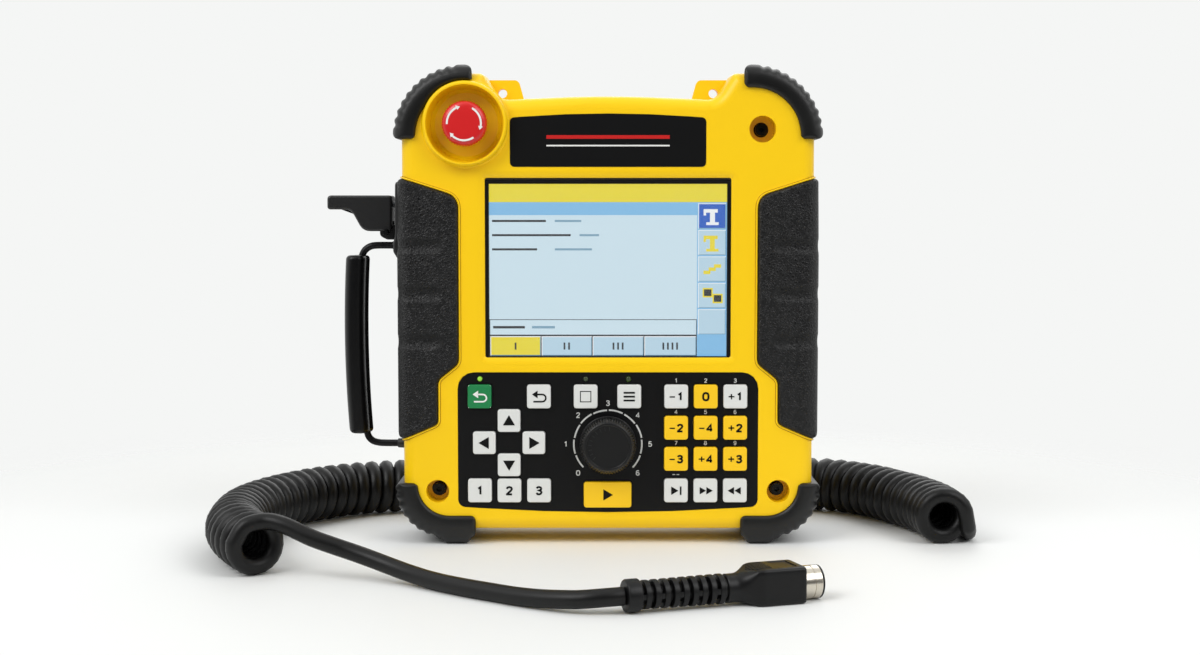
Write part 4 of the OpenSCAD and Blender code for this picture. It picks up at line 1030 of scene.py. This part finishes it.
# Moulded ABS: even colour, satin, with a grain that is barely felt.
key_plastics = {
    tint: surface(tint + "_key_abs", code, (0.34, 0.44), 0.556, bump=(0.1, 0.1), IOR=1.53)
    for tint, code in (("green", "#118046"), ("yellow", "#FBC903"), ("grey", "#DDDEDB"))
}
black_ink = ink("black_screen_ink", "#0B0B0C")
CAP_Y, FLANGE_Y, KEY_BACK_Y, FLANGE_OUT = -30.4, -26.0, -24.8, 0.7
LEGEND_Y = CAP_Y - 0.02


def key_cap(x, z, wide, high):
    """A cap from its flange to its dished front, in the bmesh that is returned."""
    bm = bmesh.new()
    made = bmesh.ops.create_cube(bm, size=1.0)["verts"]
    bmesh.ops.scale(bm, vec=Vector((wide, KEY_BACK_Y - CAP_Y, high)) * MM, verts=made)
    bmesh.ops.translate(bm, vec=at(x, (CAP_Y + KEY_BACK_Y) / 2, z), verts=bm.verts)
    upright = [e for e in bm.edges
               if abs((e.verts[0].co - e.verts[1].co).normalized().y) > 0.9]
    bevel(bm, upright, 1.5, 5)
    front = min(bm.faces, key=lambda f: f.calc_center_median().y)
    bevel(bm, list(front.edges), 0.5, 3)
    front = min(bm.faces, key=lambda f: f.calc_center_median().y + 10 * (f.normal.y > -0.99))
    bmesh.ops.inset_individual(bm, faces=[front], thickness=0.7 * MM, depth=-0.12 * MM)
    bmesh.ops.bisect_plane(bm, geom=bm.verts[:] + bm.edges[:] + bm.faces[:],
                           plane_co=at(x, FLANGE_Y, z), plane_no=(0, 1, 0))
    behind = at(0, FLANGE_Y, 0).y + 1e-6
    skirt = [f for f in bm.faces if f.calc_center_median().y > behind and abs(f.normal.y) < 0.5]
    grown = bmesh.ops.extrude_face_region(bm, geom=skirt)["geom"]
    middle = at(x, 0, z)
    for v in [g for g in grown if isinstance(g, bmesh.types.BMVert)]:
        v.co.x += math.copysign(FLANGE_OUT * MM, v.co.x - middle.x)
        v.co.z += math.copysign(FLANGE_OUT * MM, v.co.z - middle.z)
    bmesh.ops.delete(bm, geom=skirt, context="FACES")
    tighten(bm, capped=False)
    return bm


def bar(bm, x0, z0, x1, z1):
    """A printed bar on a key."""
    print_bar(bm, x0, z0, x1, z1, LEGEND_Y, 1)


def arrow(bm, x, z, turn, size=3.4):
    """A solid triangle that points up, turned anticlockwise by turn degrees."""
    c, s = math.cos(math.radians(turn)), math.sin(math.radians(turn))
    spots = ((-size, -size * 0.75), (size, -size * 0.75), (0, size * 0.95))
    print_shape(bm, [(x + c * a - s * b, z + s * a + c * b) for a, b in spots], LEGEND_Y, 1)


def bent_arrow(bm, x, z):
    """The sign for going back: a bar that turns round and ends in an arrow head."""
    bar(bm, x - 1.2, z + 1.6, x + 1.6, z + 2.5)
    print_arc(bm, x + 1.6, z, 1.6, 2.5, 90, -90, 8, LEGEND_Y, 1)
    bar(bm, x - 3.4, z - 2.5, x + 1.6, z - 1.6)
    print_shape(bm, [(x - 1.0, z + 4.2), (x - 4.2, z + 2.05), (x - 1.0, z - 0.1)], LEGEND_Y, 1)


def frame_line(bm, x, z, wide, high):
    """A printed line round a rectangle, half a millimetre wide."""
    w, h, line = wide / 2, high / 2, 0.5
    for x0, z0, x1, z1 in ((-w, h - line, w, h), (-w, -h, w, line - h),
                           (-w, line - h, line - w, h - line), (w - line, line - h, w, h - line)):
        print_bar(bm, x + x0, z + z0, x + x1, z + z1, LEGEND_Y + 0.1, 1)


def print_sign(bm, sign, x, z):
    """Prints a key's sign: an arrow's turn in degrees, the name of a sign, or figures."""
    if isinstance(sign, int):
        arrow(bm, x, z, sign)
    elif sign in ("back", "back_framed"):
        bent_arrow(bm, x + 0.3, z - 0.8)
        if sign == "back_framed":
            frame_line(bm, x, z, SQUARE - 0.8, SQUARE - 0.8)
    elif sign == "square":
        frame_line(bm, x, z, 6.4, 6.4)
    elif sign == "bars":
        for k in (-1, 0, 1):
            bar(bm, x - 3.2, z + 2.2 * k - 0.5, x + 3.2, z + 2.2 * k + 0.5)
    elif sign == "start":
        arrow(bm, x, z, -90, 3.2)
    elif sign == "step":
        arrow(bm, x - 0.9, z, -90, 2.4)
        bar(bm, x + 2.2, z - 2.4, x + 3.1, z + 2.4)
    elif sign in ("forward", "backward"):
        way = 1 if sign == "forward" else -1
        arrow(bm, x - 1.7 * way, z, -90 * way, 2.1)
        arrow(bm, x + 2.1 * way, z, -90 * way, 2.1)
    else:
        print_text(bm, sign, x, z, 4.9 if len(sign) == 2 else 5.3, LEGEND_Y, 1, weight=0.21)


SQUARE, ARROW_KEY = 13.4, 12.8
top_row, second_row, third_row = JOG_ZS
first_column, second_column, third_column = JOG_XS
keys = {
    "key_select": (-72.5, top_row, SQUARE, SQUARE, "green", "back_framed"),
    "key_return": (-39.0, top_row, SQUARE, SQUARE, "grey", "back"),
    "key_reset": (-12.6, top_row, SQUARE, SQUARE, "grey", "square"),
    "key_mode": (12.0, top_row, SQUARE, SQUARE, "grey", "bars"),
    "key_up": (-55.9, 71.1, ARROW_KEY, ARROW_KEY, "grey", 0),
    "key_down": (-55.9, 45.9, ARROW_KEY, ARROW_KEY, "grey", 180),
    "key_left": (-69.9, 58.5, ARROW_KEY, ARROW_KEY, "grey", 90),
    "key_right": (-41.9, 58.5, ARROW_KEY, ARROW_KEY, "grey", -90),
    "key_low_1": (-72.5, LOW_Z, SQUARE, SQUARE, "grey", "1"),
    "key_low_2": (-55.8, LOW_Z, SQUARE, SQUARE, "grey", "2"),
    "key_low_3": (-39.0, LOW_Z, SQUARE, SQUARE, "grey", "3"),
    "key_start": (-0.2, 28.9, 26.9, 14.6, "yellow", "start"),
    "key_jog_1_minus": (first_column, top_row, SQUARE, SQUARE, "grey", "-1"),
    "key_jog_1_lock": (second_column, top_row, SQUARE, SQUARE, "yellow", "0"),
    "key_jog_1_plus": (third_column, top_row, SQUARE, SQUARE, "grey", "+1"),
    "key_jog_2_minus": (first_column, second_row, SQUARE, SQUARE, "yellow", "-2"),
    "key_jog_2_mid": (second_column, second_row, SQUARE, SQUARE, "yellow", "-4"),
    "key_jog_2_plus": (third_column, second_row, SQUARE, SQUARE, "yellow", "+2"),
    "key_jog_3_minus": (first_column, third_row, SQUARE, SQUARE, "yellow", "-3"),
    "key_jog_3_mid": (second_column, third_row, SQUARE, SQUARE, "yellow", "+4"),
    "key_jog_3_plus": (third_column, third_row, SQUARE, SQUARE, "yellow", "+3"),
    "key_step": (first_column, LOW_Z, SQUARE, SQUARE, "grey", "step"),
    "key_forward": (second_column, LOW_Z, SQUARE, SQUARE, "grey", "forward"),
    "key_backward": (third_column, LOW_Z, SQUARE, SQUARE, "grey", "backward"),
}
for name, (x, z, wide, high, tint, sign) in keys.items():
    bm = key_cap(x, z, wide, high)
    print_sign(bm, sign, x, z)
    materials = [key_plastics[tint], white_ink if tint == "green" else black_ink]
    keep_piece(name + "_cap", bm, materials, body_of_node[name], 30, name)

# ---- Speed dial ----
# A black moulded knob on the spindle of its potentiometer: a smooth skirt, a fluted rim for
# the fingertips and a flat, slightly sunk top with raised marks over its upper left.

# Knob plastic: black, smoother than the panel, so its flutes catch the light.
knob_plastic = surface("black_knob_plastic", "#0C0C0D", 0.34, 0.667, bump=(0.2, 0.1),
                       Specular_IOR_Level=0.45)
# Glass filled nylon: dark grey to black, with a coarser skin and a silky sheen.
moulding = surface("black_moulded_nylon", "#161617", (0.36, 0.5), 0.769, bump=(0.22, 0.12),
                   IOR=1.53, Specular_IOR_Level=0.6)
DIAL_BACK_Y = -28.5
dial_profile = [
    (0.0, 16.0, 0), (0.0, 15.6, 0), (0.6, 16.0, 0), (1.6, 16.0, 0), (1.9, 15.7, 0.1),
    (2.4, 15.95, 0.7), (9.8, 15.8, 0.7), (10.5, 15.5, 0.7), (11.3, 15.0, 0.6), (11.9, 14.4, 0.5),
    (12.3, 13.9, 0.3), (12.75, 13.5, 0), (12.95, 13.0, 0), (13.0, 12.4, 0), (12.8, 12.1, 0),
    (12.35, 11.9, 0), (12.3, 11.5, 0), (12.3, 4.0, 0),
]
bm = fluted(DIAL_X, DIAL_Z, DIAL_BACK_Y, dial_profile, 60, 240)
dial_back = Matrix.Translation(at(DIAL_X, DIAL_BACK_Y, DIAL_Z)) @ FACING
add_cone(bm, dial_back @ Matrix.Translation((0, 0, -6.0 * MM)), 32, 3, 13)
for k in range(10):
    turn = Matrix.Rotation(math.radians(85 + 15 * k), 4, "Z")
    place = Matrix.Translation(Vector((10.1, 0, 12.35)) * MM)
    size = Matrix.Diagonal((1.9 * MM, 0.4 * MM, 0.7 * MM, 1))
    made = bmesh.ops.create_cube(bm, size=1, matrix=dial_back @ turn @ place @ size)
    paint(made["verts"], 1)
bmesh.ops.recalc_face_normals(bm, faces=bm.faces)
keep_piece("speed_dial_dressed", bm, [knob_plastic, moulding], "dial", 40,
           "speed_dial")

# ---- Lever, bracket and bail ----
# The enable lever and its bracket are moulded in glass filled nylon. The bail is a bent steel
# rod, blackened, with a soft sleeve over the stretch that the fingers hold.
BAIL_TOP_Z, BAIL_LOW_Z = 169.5, 54.5


def pillow(bm, corners, y0, y1, ease_front, ease_back, steps=5):
    """An outline of rounded corners given depth, with its front and back rims rounded."""
    outline = [Vector(point) for point in rounded_outline(corners, steps)]
    if sum(a.x * b.y - b.x * a.y for a, b in zip(outline, outline[1:] + outline[:1])) < 0:
        outline.reverse()
    inward = []
    for i, spot in enumerate(outline):
        u = (spot - outline[i - 1]).normalized()
        v = (outline[(i + 1) % len(outline)] - spot).normalized()
        bisector = Vector((-(u.y + v.y), u.x + v.x)).normalized()
        inward.append(bisector / max(bisector.dot(Vector((-u.y, u.x))), 0.7))
    rings = []
    for y, ease, way in ((y0, ease_front, 1), (y1, ease_back, -1)):
        part = []
        for k in range(6 if ease else 1):
            angle = math.pi / 2 * k / 5
            inset, deep = ease * (1 - math.sin(angle)), ease * (1 - math.cos(angle))
            spots = [spot + inward[i] * inset for i, spot in enumerate(outline)]
            part.append([(spot.x, y + way * deep, spot.y) for spot in spots])
        rings += part[::way]
    own = skinned(rings)
    spare = bpy.data.meshes.new("spare")
    own.to_mesh(spare)
    own.free()
    bm.from_mesh(spare)
    bpy.data.meshes.remove(spare)


# the lever: two cheeks and a web between them, cut back where the bracket's ear stands
cheek = [(-123.7, 198.2, 1.8), (-160.7, 198.2, 2.4), (-160.7, 190.1, 1.9), (-147.2, 190.1, 6.0),
         (-140.4, 177.7, 7.0), (-123.9, 177.7, 1.8)]
web = cheek[:5] + [(-132.6, 177.7, 0.5), (-132.6, 183.4, 1.5), (-123.8, 183.4, 0.5)]
bm = bmesh.new()
pillow(bm, cheek, -8.9, -4.8, 1.4, 0)
pillow(bm, web, -4.8, 4.8, 0, 0)
pillow(bm, cheek, 4.8, 8.9, 0, 1.4)
keep_piece("enable_lever_moulded", bm, [moulding], "lever", 40, "enable_lever")
# the bracket: a plate on the side of the housing, the lever's ear and the socket of the bail
plate = [(-117.0, 206.1, 0.6), (-121.4, 206.1, 2.4), (-121.7, 175.0, 3.0), (-122.7, 171.0, 2.0),
         (-122.7, 166.0, 3.0), (-119.4, 160.6, 1.5), (-117.0, 160.6, 0.6)]
ear = [(-119.5, 181.3, 0.5), (-126.0, 181.3, 3.0), (-131.2, 178.9, 3.0), (-131.2, 174.9, 3.0),
       (-127.0, 172.8, 3.5), (-119.5, 172.8, 0.5)]
bm = bmesh.new()
pillow(bm, plate, -12.9, 12.9, 1.3, 1.3, 4)
pillow(bm, ear, -4.5, 4.5, 0.7, 0.7)
bmesh.ops.create_uvsphere(bm, u_segments=32, v_segments=16, radius=3.3 * MM,
                          matrix=Matrix.Translation(at(-121.6, 0, BAIL_TOP_Z)))
keep_piece("side_bracket_moulded", bm, [moulding], "housing", 40,
           "side_bracket")
dress("lever_pin", blackened, 0.2)
dress("enable_plunger", stem_plastic, 0.2)
bm = bmesh.new()
outwards = Matrix.Rotation(math.radians(-90), 4, "Y")
add_cone(bm, Matrix.Translation(at(-119.5, 0, BAIL_LOW_Z)) @ outwards, 32, 2.9, 5.4, 2.7)
bevel(bm, [e for e in bm.edges if e.calc_face_angle(0) > math.radians(60)], 0.6, 3)
keep_piece("bail_lug_moulded", bm, [moulding], "housing", 40, "bail_lug")

# the sleeve is made of two half shells, slightly bowed, with a joint down each side
SLEEVE_L, SLEEVE_X, SLEEVE_TOP_Z = 103.0, -145.1, 163.8
ends = [0.0, 0.15, 0.5, 1.0, 1.7]
marks = ends + [2.5 + 98.0 * k / 30 for k in range(31)] + [SLEEVE_L - mark for mark in ends[::-1]]
rings = []
for mark in marks:
    share = mark / SLEEVE_L
    sway = -6.0 * share + 7.2 * share * share
    shrink = 2.2 * (1 - rounding(min(mark, SLEEVE_L - mark), 2.5))
    ring = []
    for c, v in circle(56):
        x = math.copysign(abs(c) ** 0.75, c) * (5.9 - shrink)
        y = math.copysign(abs(v) ** 0.75, v) * (8.9 - shrink)
        x += 1.5 * eased(y, -0.7, 0.7) - math.copysign(1.3 * math.exp(-(y / 0.7) ** 2), x)
        ring.append((SLEEVE_X + x + sway, y, SLEEVE_TOP_Z - mark))
    rings.append(ring)
bm = skinned(rings, 1e-6)
for face in bm.faces:
    face.material_index = 1 if face.calc_center_median().y > at(0, 0.2, 0).y else 0
# Nitrile of the front half: soft black. Polished plastic of the rear half: deep black gloss.
sleeve_rubber = surface("nitrile_sleeve", "#060607", 0.36, 1.11, bump=(0.15, 0.1),
                        Specular_IOR_Level=0.35)
hard_black = surface("polished_black_plastic", "#0B0B0C", (0.12, 0.22), 16.7, 3.0,
                     Specular_IOR_Level=0.6)
keep_piece("bail_sleeve_bowed", bm, [sleeve_rubber, hard_black], "bail", 45,
           "bail_sleeve")

# the rod: two legs whose ends turn in their sockets, and the bowed stretch inside the sleeve
route = [
    (-123.0, BAIL_TOP_Z), (-132.5, BAIL_TOP_Z), (-137.0, 168.9), (-140.4, 166.6), (-142.3, 162.6),
    (-143.2, 157.0), (-144.2, 130.0), (-144.0, 100.0), (-142.2, 75.0), (-140.6, 65.0),
    (-139.5, 59.0), (-137.0, 56.0), (-133.4, 54.8), (-129.0, BAIL_LOW_Z), (-121.4, BAIL_LOW_Z),
]
route = smooth_line([(x, 0, z) for x, z in route], LINE_STEPS)
rings = []
for i, spot in enumerate(route):
    way = (route[min(i + 1, len(route) - 1)] - route[max(i - 1, 0)]).normalized()
    side = Vector((0, 1, 0))
    rings.append([spot + side * a + way.cross(side) * b for a, b in circle(20, 2.0)])
bm = skinned(rings)
bmesh.ops.create_uvsphere(bm, u_segments=24, v_segments=12, radius=2.3 * MM,
                          matrix=Matrix.Translation(at(-123.6, 0, BAIL_TOP_Z)))
bmesh.ops.recalc_face_normals(bm, faces=bm.faces)
keep_piece("bail_rod_bent", bm, [blackened], "bail", 45, "bail_rod")
dress("stop_block", moulding, 0.3)

# ---- Gland and plug ----
# The gland clamps the cord where it enters the rear cover. At the other end are a ribbed
# boot, the moulded body of the plug and its nickel-plated shell.
dress("cable_gland", moulding, 0.5)
# Moulded PVC: soft black with a fine grain.
boot_rubber = surface("moulded_pvc", "#070708", 0.4, 0.769, 3.0, (0.25, 0.1),
                      Specular_IOR_Level=0.3)
PLUG = Vector((7, -196, 8.3))
plug_way = Vector((math.cos(math.radians(19)), math.sin(math.radians(19)), 0))
plug_side = Vector((-plug_way.y, plug_way.x, 0))
BOOT_R, CORE_R, BODY_END, BODY_POINTS = 7.0, 4.6, 90.0, 96


def on_plug(s, v, w):
    """A place s along the plug from its cord end, v to the side and w above its axis."""
    return PLUG + plug_way * s + plug_side * v + Vector((0, 0, w))


# stations along the boot: [place, radius, radius where two bridges join the ribs, their turn]
stations = [(0.0, CORE_R, CORE_R, 0), (0.0, 7.0, 7.0, 0), (0.25, 7.6, 7.6, 0),
            (0.8, 7.95, 7.95, 0), (6.3, 7.95, 7.95, 0), (6.8, 7.7, 7.7, 0), (7.0, 7.3, 7.3, 0)]
for k in range(9):
    begin = 7.02 + k * 4.72
    rib = 6.95 + 0.05 * k
    turn = 90 * (k % 2)
    stations += [(begin + s, CORE_R, rib - 0.5, turn) for s in (0, 1.75)]
    for s, less in ((1.78, 0.5), (2.0, 0.1), (2.3, 0), (4.1, 0), (4.45, 0.1), (4.69, 0.5)):
        stations.append((begin + s, rib - less, rib - less, 0))
stations += [(49.6, 5.6, 5.6, 0), (51.0, 5.6, 5.6, 0), (51.05, 6.6, 6.6, 0), (51.5, 7.0, 7.0, 0)]
rings = []
for s, radius, bridge, turn in stations:
    ring = []
    for k, (a, b) in enumerate(circle(BODY_POINTS)):
        off = abs((360 * k / BODY_POINTS - turn + 90) % 180 - 90)
        r = bridge if off < 13 else radius
        ring.append(on_plug(s, -r * a, r * b))
    rings.append(ring)
# the body grows from round to square, with a panel sunk in its top
marks = [52 + k * 0.6 for k in range(31)] + [70.5 + 0.4 * k for k in range(10)]
marks += [76.0, 76.4, 76.5, 86.3, 86.4, 87.5, 88.6, 89.3, 89.7, 89.9, 90.0, 90.0]
for s in marks:
    grown = eased(s, 55, 69)
    power = 1.0 - 0.82 * min(grown * 1.3, 1.0)
    ease = 1.2 * (1 - rounding(BODY_END - s, 1.2))
    ring = []
    for a, b in circle(BODY_POINTS):
        out, up = math.copysign(abs(a) ** power, a), math.copysign(abs(b) ** power, b)
        height = (BOOT_R + (2.9 if up > 0 else 1.15) * grown - ease) * up
        if up > 0.9 and abs(out) < 0.62 and 76.45 < s < 86.35:
            height -= 0.5
        ring.append(on_plug(s, -(BOOT_R + 3.9 * grown - ease) * out, height))
    rings.append(ring)
rings.append([on_plug(BODY_END, -a, b) for a, b in circle(BODY_POINTS, 6.0)])
bm = skinned(rings)
# seven low ridges over the flare
for k in range(-3, 4):
    rings = []
    for n in range(26 - 2 * abs(k)):
        s = 61.0 + 0.9 * abs(k) + 0.5 * n
        proud = 0.3 if 61.6 + 0.9 * abs(k) < s < 73 else -0.3
        top = BOOT_R + 2.9 * eased(s, 55, 69) + proud
        rings.append([on_plug(s, k * 2.1 + a, w) for a, w in (
            (-0.6, top - 0.7), (-0.35, top), (0.35, top), (0.6, top - 0.7))])
    loft(bm, rings)
tighten(bm, capped=False)
plug_piece = keep_piece("plug_body_moulded", bm, [boot_rubber], "housing", 40,
                        "plug_body")

# Nickel plating: a warm pale metal, brighter where it is worn.
nickel = surface("nickel_plating", "#CFC8BB", (0.14, 0.3), 1.43, 5.0, Metallic=1.0)
shell_profile = [
    (89.9, 5.0), (89.9, 7.6), (90.4, 8.1), (91.0, 8.25), (95.6, 8.25), (95.7, 8.0), (96.1, 8.0),
    (96.2, 8.25), (99.6, 8.25), (99.9, 8.1), (100.0, 8.0), (100.2, 8.15), (100.8, 8.15),
    (101.0, 7.9), (101.0, 7.0), (97.2, 6.9), (97.2, 0.4),
]
# past here, and inside the shell, lies the black insert that holds the pins
INSERT_START = 100.0
rings = [[on_plug(s, -a, b) for a, b in circle(64, r)] for s, r in shell_profile]
bm = bmesh.new()
loft(bm, rings)
for face in bm.faces:
    spot = (face.calc_center_median() - at(*PLUG)) / MM
    along = spot.dot(plug_way)
    inside = (spot - plug_way * along).length < 7.5
    face.material_index = 1 if along > INSERT_START or (along > 97.1 and inside) else 0
tighten(bm)
plug_turn = plug_way.to_track_quat("Z", "Y").to_matrix().to_4x4()
for a, b in circle(8, 4.4):
    add_cone(bm, Matrix.Translation(at(*on_plug(98.7, a, b))) @ plug_turn, 16, 0.55, 3.2, 0.4)
bmesh.ops.recalc_face_normals(bm, faces=bm.faces)
shell_piece = keep_piece("plug_shell_turned", bm, [nickel, boot_rubber], "housing", 40,
                         "plug_shell")
